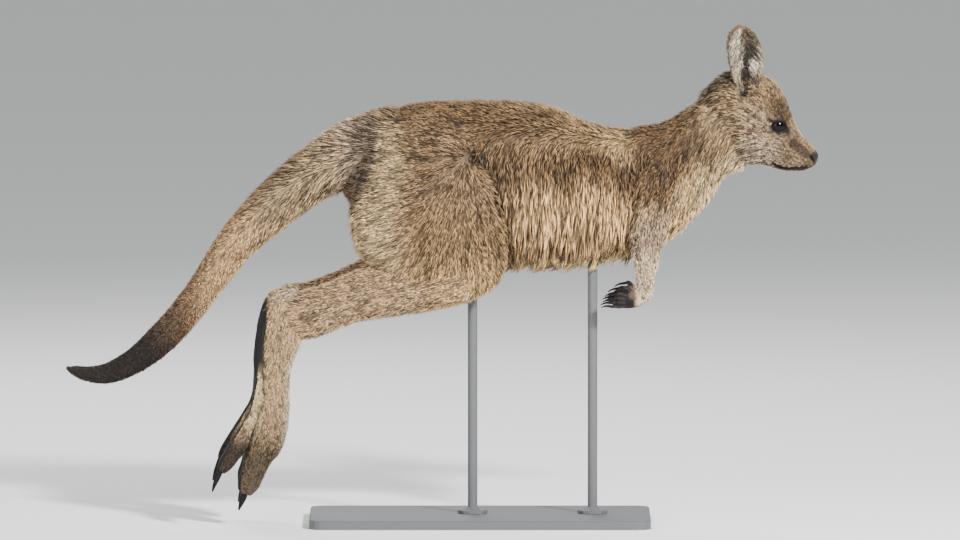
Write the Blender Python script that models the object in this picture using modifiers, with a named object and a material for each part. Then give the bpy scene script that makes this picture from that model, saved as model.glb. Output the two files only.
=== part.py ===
"""A young eastern grey kangaroo in mid leap, life size, held up by a plain display stand.

Metres, +Z up. The nose points along +X and the animal's left side is +Y. The origin is on the
floor, at the centre of the stand's base. The solids have the outline of the coat. The flesh is
lofted as one body, from the toes to the ear tips, and then parted into named nodes.
"""

import math

import bmesh
import bpy
from mathutils import Vector

# ------------------------------------------------------------------ fits and fineness
GAP = 0.0003
VOXEL = 0.002
SMOOTHING_ROUNDS = 4
FLESH_TRIANGLES = 3250
STEPS_PER_ROW = 4
CLAW_STEPS = 1
RING_POINTS = 28
CLAW_RING_POINTS = 6
SIDES = {"right": -1, "left": 1}
LEFT_LEG_SHIFT = Vector((-0.002, 0.0, 0.003))
LEFT_ARM_SHIFT = Vector((0.003, 0.0, 0.001))

# ------------------------------------------------------------------ stand
BASE_SIZE = Vector((0.46, 0.25, 0.012))
BASE_CORNER = 0.020
BASE_EDGE = 0.0015
ROD_RADIUS = 0.0065
FLANGE_RADIUS = 0.020
FLANGE_HEIGHT = 0.005
ROD_EDGE = 0.001
ROD_COVE = 0.004
# Where each rod stands along the animal, and how high it reaches into the body.
RODS = {"rear": (-0.010, 0.392), "front": (0.152, 0.400)}

# ------------------------------------------------------------------ flesh
# Each row is one section of the flesh: centre (x, y, z), reach above, reach below, half width.
# "Above" is the side that is on top where the body runs along +X, so it is the front of a
# limb whose rows run down, and the underside of one whose rows run back.
TRUNK = [
    (-0.178, 0.0, 0.504, 0.040, 0.032, 0.027),
    (-0.160, 0.0, 0.496, 0.062, 0.046, 0.043),
    (-0.136, 0.0, 0.481, 0.086, 0.070, 0.0565),
    (-0.095, 0.0, 0.471, 0.099, 0.096, 0.0685),
    (-0.041, 0.0, 0.466, 0.106, 0.108, 0.0745),
    (0.014, 0.0, 0.462, 0.111, 0.114, 0.0775),
    (0.068, 0.0, 0.458, 0.111, 0.115, 0.0775),
    (0.122, 0.0, 0.450, 0.100, 0.107, 0.0755),
    (0.176, 0.0, 0.450, 0.088, 0.095, 0.0695),
    (0.223, 0.0, 0.458, 0.080, 0.084, 0.061),
    (0.261, 0.0, 0.477, 0.074, 0.069, 0.052),
    (0.294, 0.0, 0.505, 0.057, 0.055, 0.044),
    (0.325, 0.0, 0.531, 0.051, 0.064, 0.0395),
    (0.348, 0.0, 0.548, 0.044, 0.056, 0.034),
]
TAIL = [
    (-0.557, 0.0, 0.209, 0.003, 0.003, 0.003),
    (-0.546, 0.0, 0.205, 0.008, 0.008, 0.008),
    (-0.527, 0.0, 0.201, 0.011, 0.012, 0.012),
    (-0.499, 0.0, 0.203, 0.0145, 0.0155, 0.015),
    (-0.466, 0.0, 0.219, 0.017, 0.0185, 0.018),
    (-0.431, 0.0, 0.248, 0.020, 0.022, 0.020),
    (-0.395, 0.0, 0.288, 0.021, 0.023, 0.022),
    (-0.365, 0.0, 0.331, 0.022, 0.025, 0.024),
    (-0.332, 0.0, 0.377, 0.026, 0.029, 0.028),
    (-0.290, 0.0, 0.422, 0.030, 0.036, 0.034),
    (-0.249, 0.0, 0.456, 0.034, 0.039, 0.039),
    (-0.212, 0.0, 0.480, 0.038, 0.041, 0.045),
    (-0.165, 0.0, 0.500, 0.049, 0.050, 0.052),
    (-0.110, 0.0, 0.505, 0.060, 0.060, 0.060),
    (-0.040, 0.0, 0.500, 0.050, 0.050, 0.050),
]
HEAD = [
    (0.310, 0.0, 0.552, 0.030, 0.030, 0.026),
    (0.322, 0.0, 0.557, 0.040, 0.036, 0.034),
    (0.336, 0.0, 0.558, 0.056, 0.046, 0.040),
    (0.351, 0.0, 0.553, 0.062, 0.054, 0.0425),
    (0.367, 0.0, 0.544, 0.062, 0.061, 0.044),
    (0.386, 0.0, 0.533, 0.051, 0.056, 0.0425),
    (0.404, 0.0, 0.5225, 0.0335, 0.043, 0.036),
    (0.420, 0.0, 0.513, 0.0205, 0.0365, 0.0275),
    (0.4335, 0.0, 0.505, 0.0145, 0.0325, 0.021),
    (0.444, 0.0, 0.498, 0.0115, 0.0255, 0.0175),
    (0.4515, 0.0, 0.494, 0.008, 0.016, 0.014),
    (0.4555, 0.0, 0.4925, 0.004, 0.007, 0.008),
]
THIGH = [
    (-0.076, 0.036, 0.548, 0.050, 0.044, 0.019),
    (-0.073, 0.045, 0.505, 0.084, 0.082, 0.0305),
    (-0.070, 0.052, 0.455, 0.101, 0.103, 0.0405),
    (-0.067, 0.057, 0.410, 0.105, 0.109, 0.044),
    (-0.065, 0.0595, 0.372, 0.104, 0.100, 0.042),
    (-0.065, 0.060, 0.343, 0.099, 0.075, 0.0365),
    (-0.065, 0.060, 0.322, 0.083, 0.048, 0.029),
    (-0.065, 0.060, 0.307, 0.056, 0.022, 0.019),
]
SHANK = [
    (-0.006, 0.0595, 0.340, 0.030, 0.030, 0.024),
    (-0.020, 0.0595, 0.338, 0.037, 0.040, 0.032),
    (-0.042, 0.0595, 0.336, 0.041, 0.045, 0.036),
    (-0.081, 0.0585, 0.330, 0.043, 0.047, 0.035),
    (-0.128, 0.0565, 0.320, 0.040, 0.042, 0.030),
    (-0.169, 0.0535, 0.309, 0.036, 0.034, 0.026),
    (-0.203, 0.0515, 0.297, 0.035, 0.032, 0.023),
    (-0.234, 0.050, 0.286, 0.037, 0.034, 0.021),
    (-0.258, 0.0495, 0.285, 0.032, 0.034, 0.020),
    (-0.275, 0.0495, 0.288, 0.022, 0.025, 0.016),
]
FOOT = [
    (-0.270, 0.050, 0.307, 0.014, 0.014, 0.012),
    (-0.268, 0.050, 0.292, 0.028, 0.025, 0.018),
    (-0.270, 0.050, 0.262, 0.034, 0.031, 0.020),
    (-0.277, 0.050, 0.232, 0.029, 0.028, 0.0195),
    (-0.281, 0.050, 0.200, 0.026, 0.026, 0.019),
    (-0.282, 0.050, 0.165, 0.0265, 0.027, 0.020),
    (-0.285, 0.050, 0.135, 0.027, 0.026, 0.021),
    (-0.291, 0.050, 0.112, 0.026, 0.024, 0.021),
    (-0.300, 0.050, 0.092, 0.0205, 0.020, 0.0185),
    (-0.307, 0.050, 0.0715, 0.0175, 0.017, 0.016),
    (-0.313, 0.050, 0.0555, 0.0155, 0.0155, 0.014),
    (-0.318, 0.050, 0.044, 0.010, 0.010, 0.009),
]
TOE_FIVE = [
    (-0.292, 0.060, 0.205, 0.010, 0.011, 0.009),
    (-0.299, 0.064, 0.160, 0.012, 0.012, 0.0115),
    (-0.309, 0.068, 0.136, 0.014, 0.014, 0.013),
    (-0.321, 0.071, 0.116, 0.0145, 0.0140, 0.013),
    (-0.334, 0.073, 0.0985, 0.0125, 0.0120, 0.0125),
    (-0.343, 0.074, 0.085, 0.011, 0.0105, 0.011),
    (-0.349, 0.074, 0.0755, 0.007, 0.007, 0.007),
]
TOES_TWO_THREE = [
    (-0.270, 0.037, 0.190, 0.008, 0.009, 0.007),
    (-0.274, 0.032, 0.150, 0.009, 0.009, 0.008),
    (-0.281, 0.030, 0.118, 0.009, 0.009, 0.009),
    (-0.290, 0.030, 0.098, 0.008, 0.008, 0.009),
    (-0.295, 0.030, 0.090, 0.005, 0.005, 0.006),
]
ARM = [
    (0.256, 0.026, 0.500, 0.026, 0.028, 0.016),
    (0.250, 0.033, 0.480, 0.038, 0.038, 0.024),
    (0.241, 0.041, 0.455, 0.038, 0.038, 0.026),
    (0.230, 0.0465, 0.425, 0.031, 0.032, 0.024),
    (0.225, 0.0495, 0.398, 0.026, 0.026, 0.021),
    (0.225, 0.0505, 0.375, 0.021, 0.023, 0.018),
    (0.2235, 0.050, 0.350, 0.016, 0.0175, 0.0145),
    (0.2225, 0.0485, 0.332, 0.013, 0.0135, 0.0125),
    (0.221, 0.047, 0.319, 0.0115, 0.012, 0.011),
    (0.218, 0.0455, 0.309, 0.008, 0.009, 0.009),
]
PALM_Y = 0.047
PAW = [
    (0.228, PALM_Y, 0.316, 0.008, 0.008, 0.008),
    (0.217, PALM_Y, 0.310, 0.012, 0.011, 0.010),
    (0.205, PALM_Y, 0.305, 0.0125, 0.0125, 0.0095),
    (0.193, PALM_Y, 0.304, 0.0115, 0.0125, 0.0085),
    (0.184, PALM_Y, 0.304, 0.008, 0.009, 0.006),
]
# Fingers from the thumb down: root x, z; knuckle x, z; tip x, z; how far each sits from the palm.
FINGERS = [
    ((0.205, 0.314), (0.198, 0.3205), (0.192, 0.3190), -0.004),
    ((0.197, 0.311), (0.189, 0.3135), (0.183, 0.3120), -0.001),
    ((0.195, 0.306), (0.185, 0.3075), (0.179, 0.3060), 0.001),
    ((0.195, 0.301), (0.184, 0.3015), (0.176, 0.3005), 0.001),
    ((0.197, 0.296), (0.186, 0.2955), (0.177, 0.2955), -0.001),
]
FINGER_RADIUS = 0.0036
KNUCKLE_SWELL = 1.05
FINGER_TIP_SHARE = 0.62

# ------------------------------------------------------------------ ears
EAR_LENGTH = 0.0850
EAR_HALF_WIDTH = 0.0256
EAR_DEPTH = 0.015
EAR_THICKNESS = 0.0058
EAR_ROOT = Vector((0.3605, 0.026, 0.586))
EAR_OUTWARD = 0.020
EAR_BACKWARD = 0.009
EAR_WIDEST = 0.52
EAR_ROOT_SHARE = 0.55
EAR_TIP_FULLNESS = 2.7
EAR_TIP_SHARE = 0.06
EAR_FLATTENING = 0.75

# ------------------------------------------------------------------ eyes and claws
EYE_RADIUS = 0.0122
EYE_CENTRE = Vector((0.4045, 0.0238, 0.5375))
# Each hind claw's y, and its rows: centre x, z and radius, from inside the toe to the point.
HIND_CLAWS = {
    "four": (0.050, [
        (-0.316, 0.054, 0.0050),
        (-0.3185, 0.040, 0.0048),
        (-0.322, 0.030, 0.0034),
        (-0.3255, 0.0205, 0.0010),
    ]),
    "five": (0.074, [
        (-0.3475, 0.082, 0.0042),
        (-0.3525, 0.069, 0.0040),
        (-0.3570, 0.058, 0.0028),
        (-0.3605, 0.0475, 0.0009),
    ]),
    "two_three": (0.030, [
        (-0.292, 0.096, 0.0034),
        (-0.297, 0.085, 0.0032),
        (-0.3005, 0.077, 0.0023),
        (-0.303, 0.070, 0.0009),
    ]),
}
FRONT_CLAW_LENGTH = 0.0135
FRONT_CLAW_SHARES = (0.0, 0.35, 0.7, 1.0)
FRONT_CLAW_SEAT = 0.004
FRONT_CLAW_RADIUS = 0.0019
CLAW_POINT_RADIUS = 0.0006
FRONT_CLAW_ARCH = 0.0022
FRONT_CLAW_HOOK = 0.0035
CLAW_TAPER = 1.3

# ------------------------------------------------------------------ where the flesh is parted
# Each region is a box with one face on the cut: a point on the cut, the way the region lies
# from it (x, z), its size across the cut, its depth, and its span in y. The tail's end comes
# first, then each side's limbs, then the middle of the body. The trunk is what is left.
TAIL_REGIONS = [
    ("tail_tip", (-0.448, 0.232), (-0.74, -0.67), 0.16, 0.20, (-0.06, 0.06)),
    ("tail_middle", (-0.318, 0.392), (-0.69, -0.72), 0.12, 0.30, (-0.06, 0.06)),
]
MIDDLE_REGIONS = [
    ("tail_base", (-0.180, 0.496), (-0.93, -0.36), 0.15, 0.25, (-0.08, 0.08)),
    ("head", (0.341, 0.541), (0.99, 0.11), 0.30, 0.20, (-0.10, 0.10)),
    ("neck", (0.262, 0.490), (0.80, 0.60), 0.26, 0.20, (-0.10, 0.10)),
    ("chest", (0.150, 0.455), (1.0, 0.0), 0.30, 0.25, (-0.12, 0.12)),
]
SIDE_REGIONS = [
    ("ear", (0.359, 0.598), (-0.02, 1.0), 0.10, 0.12, (0.004, 0.10)),
    ("paw", (0.2185, 0.3095), (-0.90, -0.44), 0.07, 0.08, (0.010, 0.10)),
    ("forearm", (0.226, 0.360), (0.0, -1.0), 0.07, 0.14, (0.026, 0.13)),
    ("foot", (-0.2685, 0.267), (-0.80, -0.60), 0.42, 0.30, (0.008, 0.14)),
    ("shank", (-0.090, 0.3265), (-0.292, -0.956), 0.40, 0.16, (0.022, 0.16)),
]
# A limb's root is a squarish oval in side view: its centre (x, z), its reach along and up,
# and its span in y.
ROOT_SQUARENESS = 0.7
ROOT_REGIONS = [
    ("thigh", (-0.070, 0.405), (0.123, 0.136), (0.031, 0.16)),
    ("upper_arm", (0.236, 0.428), (0.054, 0.078), (0.031, 0.13)),
]

# ------------------------------------------------------------------ colours
# Colour (linear), roughness, metallic.
FINISHES = {
    "coat": ((0.36, 0.26, 0.165), 0.95, 0.0),
    "dark_coat": ((0.07, 0.05, 0.038), 0.9, 0.0),
    "eye": ((0.012, 0.008, 0.006), 0.08, 0.0),
    "claw": ((0.022, 0.019, 0.018), 0.45, 0.0),
    "stand": ((0.035, 0.036, 0.038), 0.5, 0.3),
}
DARK_NODES = ("tail_tip", "paw")


# ------------------------------------------------------------------ scene and helpers
def clear_scene():
    for obj in list(bpy.data.objects):
        bpy.data.objects.remove(obj, do_unlink=True)


def collection(name):
    made = bpy.data.collections.new(name)
    bpy.context.scene.collection.children.link(made)
    return made


def material(name):
    colour, roughness, metallic = FINISHES[name]
    made = bpy.data.materials.get(name) or bpy.data.materials.new(name)
    made.use_nodes = True
    shader = made.node_tree.nodes["Principled BSDF"]
    shader.inputs["Base Color"].default_value = (*colour, 1.0)
    shader.inputs["Roughness"].default_value = roughness
    shader.inputs["Metallic"].default_value = metallic
    return made


def add_object(name, mesh, group, finish=None):
    obj = bpy.data.objects.new(name, mesh)
    group.objects.link(obj)
    if finish:
        mesh.materials.clear()
        mesh.materials.append(material(finish))
    return obj


def mesh_from(bm, name):
    bm.normal_update()
    bmesh.ops.recalc_face_normals(bm, faces=bm.faces)
    mesh = bpy.data.meshes.new(name)
    bm.to_mesh(mesh)
    bm.free()
    return mesh


def evaluated_mesh(obj):
    """The object's mesh with its modifiers applied."""
    graph = bpy.context.evaluated_depsgraph_get()
    return bpy.data.meshes.new_from_object(obj.evaluated_get(graph))


def boolean(obj, cutter, operation):
    """Cuts or joins at once, and keeps the result as the object's own mesh."""
    modifier = obj.modifiers.new(operation.lower(), "BOOLEAN")
    modifier.operation = operation
    modifier.object = cutter
    before = obj.data
    obj.data = evaluated_mesh(obj)
    obj.modifiers.clear()
    bpy.data.meshes.remove(before)


# ------------------------------------------------------------------ lofts
def catmull_rom(a, b, c, d, t):
    return 0.5 * (2 * b + (c - a) * t + (2 * a - 5 * b + 4 * c - d) * t**2
                  + (3 * b - a - 3 * c + d) * t**3)


def smooth_rows(rows, steps):
    """The rows, with a smooth run of rows between each pair."""
    padded = [rows[0], *rows, rows[-1]]
    out = []
    for a, b, c, d in zip(padded, padded[1:], padded[2:], padded[3:]):
        for step in range(steps):
            out.append([catmull_rom(*four, step / steps) for four in zip(a, b, c, d)])
    out.append(list(rows[-1]))
    return out


def loft(bm, rows, side=1, shift=Vector(), points=RING_POINTS, steps=STEPS_PER_ROW):
    """Adds a closed body of oval rings, each square to the line of centres."""
    rows = smooth_rows(rows, steps)
    centres = [Vector((x, side * y, z)) + shift for x, y, z, *_ in rows]
    rings = []
    for index, (centre, row) in enumerate(zip(centres, rows)):
        ahead = centres[min(index + 1, len(rows) - 1)] - centres[max(index - 1, 0)]
        up = ahead.cross(Vector((0, 1, 0))).normalized()
        across = up.cross(ahead).normalized()
        above, below, half = row[3:]
        ring = []
        for number in range(points):
            angle = 2 * math.pi * number / points
            reach = above if math.sin(angle) > 0 else below
            spot = centre + across * half * math.cos(angle) + up * reach * math.sin(angle)
            ring.append(bm.verts.new(spot))
        rings.append(ring)
    for one, two in zip(rings, rings[1:]):
        for number in range(points):
            after = (number + 1) % points
            bm.faces.new((one[number], one[after], two[after], two[number]))
    bm.faces.new(rings[0])
    bm.faces.new(rings[-1])


def finger_rows(finger):
    *joints, off = finger
    sizes = [FINGER_RADIUS * share for share in (1.0, KNUCKLE_SWELL, FINGER_TIP_SHARE)]
    return [(x, PALM_Y - off, z, size, size, size) for (x, z), size in zip(joints, sizes)]


def ear_half_width(along):
    """Narrow at the root, widest about halfway and round at the tip."""
    if along > EAR_WIDEST:
        beyond = (along - EAR_WIDEST) / (1 - EAR_WIDEST)
        return EAR_HALF_WIDTH * math.sqrt(max(1 - beyond**EAR_TIP_FULLNESS, 0.0))
    before = along / EAR_WIDEST
    widening = math.sin(before * math.pi / 2)
    return EAR_HALF_WIDTH * (EAR_ROOT_SHARE + (1 - EAR_ROOT_SHARE) * widening)


def ear_shell(side, rows=14, columns=10):
    """The middle surface of an ear: a cup that opens to the animal's side."""
    bm = bmesh.new()
    grid = []
    for row in range(rows + 1):
        along = math.sin(row / rows * math.pi / 2)
        half = max(ear_half_width(along), EAR_HALF_WIDTH * EAR_TIP_SHARE)
        cup = EAR_DEPTH * (1 - EAR_FLATTENING * along)
        centre = EAR_ROOT + Vector(
            (-EAR_BACKWARD * along**2, EAR_OUTWARD * along, EAR_LENGTH * along))
        line = []
        for column in range(columns + 1):
            over = 2 * column / columns - 1
            spot = centre + Vector((half * over, -cup * (1 - over**2), 0))
            line.append(bm.verts.new((spot.x, side * spot.y, spot.z)))
        grid.append(line)
    for one, two in zip(grid, grid[1:]):
        for column in range(columns):
            bm.faces.new((one[column], one[column + 1], two[column + 1], two[column]))
    return mesh_from(bm, "ear shell")


# ------------------------------------------------------------------ flesh
def flesh_parts(group):
    """The overlapping bodies that make up the animal, in one mesh."""
    bm = bmesh.new()
    for rows in (TRUNK, TAIL, HEAD):
        loft(bm, rows)
    for side in SIDES.values():
        leg_shift = LEFT_LEG_SHIFT if side > 0 else Vector()
        arm_shift = LEFT_ARM_SHIFT if side > 0 else Vector()
        for rows in (THIGH, SHANK, FOOT, TOE_FIVE, TOES_TWO_THREE):
            loft(bm, rows, side, leg_shift)
        for rows in (ARM, PAW, *map(finger_rows, FINGERS)):
            loft(bm, rows, side, arm_shift)
        shell = add_object("ear shell", ear_shell(side), group)
        thick = shell.modifiers.new("thickness", "SOLIDIFY")
        thick.thickness = EAR_THICKNESS
        thick.offset = 0
        solid = evaluated_mesh(shell)
        bm.from_mesh(solid)
        bpy.data.objects.remove(shell, do_unlink=True)
    return mesh_from(bm, "flesh")


def whole_flesh(group):
    """One closed skin round all the flesh, thinned to a light mesh."""
    obj = add_object("flesh", flesh_parts(group), group)
    skin = obj.modifiers.new("one skin", "REMESH")
    skin.mode = "VOXEL"
    skin.voxel_size = VOXEL
    soft = obj.modifiers.new("soft", "SMOOTH")
    soft.factor = 0.5
    soft.iterations = SMOOTHING_ROUNDS
    fine = evaluated_mesh(obj)
    thin = obj.modifiers.new("thin", "DECIMATE")
    thin.ratio = FLESH_TRIANGLES / (2 * len(fine.polygons))
    obj.data = evaluated_mesh(obj)
    obj.modifiers.clear()
    bpy.data.meshes.remove(fine)
    return obj


# ------------------------------------------------------------------ parting
def region_box(point, way, across, deep, span, grow):
    """A box that starts at the cut and reaches away from it, larger all round by grow."""
    toward = Vector((way[0], 0, way[1])).normalized()
    wide = Vector((0, 1, 0))
    over = wide.cross(toward)
    middle = Vector((point[0], (span[0] + span[1]) / 2, point[1])) + toward * deep / 2
    sizes = (deep + 2 * grow, span[1] - span[0] + 2 * grow, across + 2 * grow)
    bm = bmesh.new()
    bmesh.ops.create_cube(bm, size=1.0)
    for vert in bm.verts:
        x, y, z = (part * size for part, size in zip(vert.co, sizes))
        vert.co = middle + toward * x + wide * y + over * z
    return mesh_from(bm, "region")


def root_region(centre, reach, span, grow):
    """An upright oval disc whose axis lies across the animal."""
    low, high = span
    bm = bmesh.new()
    bmesh.ops.create_cone(bm, cap_ends=True, segments=28, radius1=1, radius2=1,
                          depth=high - low + 2 * grow)
    long, tall = (size + grow for size in reach)
    for vert in bm.verts:
        along, up = (math.copysign(abs(part) ** ROOT_SQUARENESS, part) for part in vert.co[:2])
        vert.co = Vector(
            (centre[0] + along * long, (low + high) / 2 + vert.co.z, centre[1] + up * tall))
    return mesh_from(bm, "region")


def part_off(flesh, name, region, group, cutters):
    """Takes the flesh inside the region as its own node, and leaves a thin gap round it."""
    node = add_object(name, flesh.data.copy(), group)
    for obj, grow, operation in ((node, 0.0, "INTERSECT"), (flesh, GAP, "DIFFERENCE")):
        cutter = add_object("cutter", region(grow), cutters)
        boolean(obj, cutter, operation)
        bpy.data.objects.remove(cutter, do_unlink=True)
    finish = "dark_coat" if name.startswith(DARK_NODES) else "coat"
    node.data.materials.clear()
    node.data.materials.append(material(finish))
    return node


def one_side(span, side):
    low, high = span
    return (low, high) if side > 0 else (-high, -low)


def part_flesh(flesh, group, cutters):
    for name, *shape in TAIL_REGIONS:
        part_off(flesh, name, lambda grow: region_box(*shape, grow), group, cutters)
    for word, side in SIDES.items():
        for make, regions in ((region_box, SIDE_REGIONS), (root_region, ROOT_REGIONS)):
            for name, *shape, span in regions:
                part_off(flesh, f"{name}_{word}",
                         lambda grow: make(*shape, one_side(span, side), grow), group, cutters)
    for name, *shape in MIDDLE_REGIONS:
        part_off(flesh, name, lambda grow: region_box(*shape, grow), group, cutters)
    flesh.name = "trunk"
    flesh.data.materials.clear()
    flesh.data.materials.append(material("coat"))
    cutters.objects.unlink(flesh)
    group.objects.link(flesh)


# ------------------------------------------------------------------ eyes and claws
def eye(side, radius):
    bm = bmesh.new()
    bmesh.ops.create_uvsphere(bm, u_segments=11, v_segments=7, radius=radius)
    bmesh.ops.translate(bm, verts=bm.verts, vec=(EYE_CENTRE.x, side * EYE_CENTRE.y, EYE_CENTRE.z))
    return mesh_from(bm, "eye")


def claw(rows, y, side, shift, grow):
    """A curved spike, larger all round and longer at its root by grow."""
    bm = bmesh.new()
    (x, z, size), (after_x, after_z, _) = rows[:2]
    back = Vector((x - after_x, z - after_z)).normalized() * grow
    rows = [(x + back.x, z + back.y, size), *rows[1:]]
    loft(bm, [(x, y, z, size + grow, size + grow, size + grow) for x, z, size in rows],
         side, shift, CLAW_RING_POINTS, CLAW_STEPS)
    return mesh_from(bm, "claw")


def front_claw_rows(finger):
    """A hooked claw that leaves the finger's tip along the last joint and bends down."""
    knuckle, tip = Vector(finger[1]), Vector(finger[2])
    way = (tip - knuckle).normalized()
    seat = tip - way * FRONT_CLAW_SEAT
    rows = [(seat.x, seat.y, FRONT_CLAW_RADIUS)]
    for share in FRONT_CLAW_SHARES:
        spot = tip + way * share * FRONT_CLAW_LENGTH
        arch = FRONT_CLAW_ARCH * math.sin(share * math.pi / 2) - FRONT_CLAW_HOOK * share**2
        thinning = (FRONT_CLAW_RADIUS - CLAW_POINT_RADIUS) * share**CLAW_TAPER
        rows.append((spot.x, spot.y + arch, FRONT_CLAW_RADIUS - thinning))
    return rows


def all_claws():
    """Each claw's name, rows, y, side and shift."""
    for word, side in SIDES.items():
        leg_shift = LEFT_LEG_SHIFT if side > 0 else Vector()
        arm_shift = LEFT_ARM_SHIFT if side > 0 else Vector()
        for toe, (y, rows) in HIND_CLAWS.items():
            yield f"hind_claw_{toe}_{word}", rows, y, side, leg_shift
        for number, finger in enumerate(FINGERS, 1):
            y = PALM_Y - finger[3]
            yield f"front_claw_{number}_{word}", front_claw_rows(finger), y, side, arm_shift


def add_eyes_and_claws(flesh, group, cutters):
    """Adds them, each in a seat of its own cut in the flesh."""
    for word, side in SIDES.items():
        add_object(f"eye_{word}", eye(side, EYE_RADIUS), group, "eye")
        seat = add_object("seat", eye(side, EYE_RADIUS + GAP), cutters)
        boolean(flesh, seat, "DIFFERENCE")
        bpy.data.objects.remove(seat, do_unlink=True)
    for name, rows, y, side, shift in all_claws():
        add_object(name, claw(rows, y, side, shift, 0.0), group, "claw")
        seat = add_object("seat", claw(rows, y, side, shift, GAP), cutters)
        boolean(flesh, seat, "DIFFERENCE")
        bpy.data.objects.remove(seat, do_unlink=True)


# ------------------------------------------------------------------ stand
def stand_base(group):
    bm = bmesh.new()
    bmesh.ops.create_cube(bm, size=1.0)
    bmesh.ops.scale(bm, verts=bm.verts, vec=BASE_SIZE)
    bmesh.ops.translate(bm, verts=bm.verts, vec=(0, 0, BASE_SIZE.z / 2))
    upright = [edge for edge in bm.edges if abs(edge.verts[0].co.z - edge.verts[1].co.z) > GAP]
    bmesh.ops.bevel(bm, geom=upright, offset=BASE_CORNER, segments=5, affect="EDGES", profile=0.5)
    top = [edge for edge in bm.edges if all(vert.co.z > BASE_SIZE.z - GAP for vert in edge.verts)]
    bmesh.ops.bevel(bm, geom=top, offset=BASE_EDGE, segments=1, affect="EDGES", profile=0.5)
    add_object("stand_base", mesh_from(bm, "stand base"), group, "stand")


def turned_rod(x, top, grow):
    """A rod with a foot flange, turned about its own axis."""
    low = BASE_SIZE.z + GAP
    radius = ROD_RADIUS + grow
    shelf = low + FLANGE_HEIGHT
    profile = [
        (0.0, top + grow),
        (radius - ROD_EDGE, top + grow),
        (radius, top + grow - ROD_EDGE),
        (radius, shelf + ROD_COVE),
        (radius + ROD_COVE, shelf),
        (FLANGE_RADIUS - ROD_EDGE, shelf),
        (FLANGE_RADIUS, shelf - ROD_EDGE),
        (FLANGE_RADIUS, low),
        (0.0, low),
    ]
    mesh = bpy.data.meshes.new("rod profile")
    edges = [(index, index + 1) for index in range(len(profile) - 1)]
    mesh.from_pydata([(out, 0, high) for out, high in profile], edges, [])
    obj = bpy.data.objects.new("rod", mesh)
    obj.location.x = x
    turn = obj.modifiers.new("turn", "SCREW")
    turn.steps = turn.render_steps = 14
    turn.use_merge_vertices = True
    turn.merge_threshold = 0.0001
    turn.use_smooth_shade = True
    return obj


def stand_rods(flesh, group, cutters):
    for word, (x, top) in RODS.items():
        rod = turned_rod(x, top, 0.0)
        rod.name = f"stand_rod_{word}"
        rod.data.materials.append(material("stand"))
        group.objects.link(rod)
        seat = turned_rod(x, top, GAP)
        cutters.objects.link(seat)
        boolean(flesh, seat, "DIFFERENCE")
        bpy.data.objects.remove(seat, do_unlink=True)


def main():
    clear_scene()
    group = collection("kangaroo")
    cutters = collection("cutters")
    flesh = whole_flesh(cutters)
    add_eyes_and_claws(flesh, group, cutters)
    stand_base(group)
    stand_rods(flesh, group, cutters)
    part_flesh(flesh, group, cutters)
    for obj in group.objects:
        if not obj.name.startswith("stand_rod"):
            obj.data.shade_smooth()


main()
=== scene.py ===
"""The looks of the grey kangaroo: one skin, a coat of mesh tufts, its eyes and claws, its stand.

Metres, +Z up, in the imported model's frame: the nose points along +X, and the animal's left side
is +Y. The skin is lofted from the same sections as the solids, less the depth of the coat, and
the tufts grow from it out to the solids' outline.
"""

import math
from types import SimpleNamespace

import bpy
import numpy as np
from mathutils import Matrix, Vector
from mathutils.bvhtree import BVHTree
from mathutils.kdtree import KDTree


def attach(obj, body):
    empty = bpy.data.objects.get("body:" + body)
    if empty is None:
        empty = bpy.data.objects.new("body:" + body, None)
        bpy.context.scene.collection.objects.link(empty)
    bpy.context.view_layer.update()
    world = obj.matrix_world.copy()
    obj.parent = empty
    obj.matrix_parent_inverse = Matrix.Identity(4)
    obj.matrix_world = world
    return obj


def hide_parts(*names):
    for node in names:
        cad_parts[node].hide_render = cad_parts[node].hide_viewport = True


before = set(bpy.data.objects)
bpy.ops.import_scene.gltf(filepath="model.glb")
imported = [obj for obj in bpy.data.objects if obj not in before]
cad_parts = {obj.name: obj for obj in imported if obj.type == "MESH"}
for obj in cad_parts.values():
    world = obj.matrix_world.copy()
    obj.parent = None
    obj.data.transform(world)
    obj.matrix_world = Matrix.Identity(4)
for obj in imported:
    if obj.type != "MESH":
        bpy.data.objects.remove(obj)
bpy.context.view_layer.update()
SEED = 11
APART = ("stand_", "eye_", "hind_claw_", "front_claw_")
FLESH = [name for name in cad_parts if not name.startswith(APART)]

# --- body sections
# Each row is one section of the flesh out to the coat's tips: centre (x, y, z), reach above,
# reach below, half width, and the depth of the coat there. "Above" is the side that is on top
# where the body runs along +X.
SIDES = {"right": -1, "left": 1}
# The left leg and the left arm stand a little off the mirrored rows of the right ones.
LEFT_LEG_SHIFT = (-0.002, 0, 0.003)
LEFT_ARM_SHIFT = (0.003, 0, 0.001)
NO_SHIFT = (0, 0, 0)
TRUNK = [
    (-0.178, 0, 0.504, 0.04, 0.032, 0.027, 0.006),
    (-0.16, 0, 0.496, 0.062, 0.046, 0.043, 0.006),
    (-0.136, 0, 0.481, 0.086, 0.07, 0.0565, 0.0065),
    (-0.095, 0, 0.471, 0.099, 0.096, 0.0685, 0.007),
    (-0.041, 0, 0.466, 0.106, 0.108, 0.0745, 0.008),
    (0.014, 0, 0.462, 0.111, 0.114, 0.0775, 0.01),
    (0.068, 0, 0.458, 0.111, 0.115, 0.0775, 0.011),
    (0.122, 0, 0.45, 0.1, 0.107, 0.0755, 0.011),
    (0.176, 0, 0.45, 0.088, 0.095, 0.0695, 0.01),
    (0.223, 0, 0.458, 0.08, 0.084, 0.061, 0.009),
    (0.261, 0, 0.477, 0.074, 0.069, 0.052, 0.008),
    (0.294, 0, 0.505, 0.057, 0.055, 0.044, 0.0075),
    (0.325, 0, 0.531, 0.051, 0.064, 0.0395, 0.007),
    (0.348, 0, 0.548, 0.044, 0.056, 0.034, 0.007),
]
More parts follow.
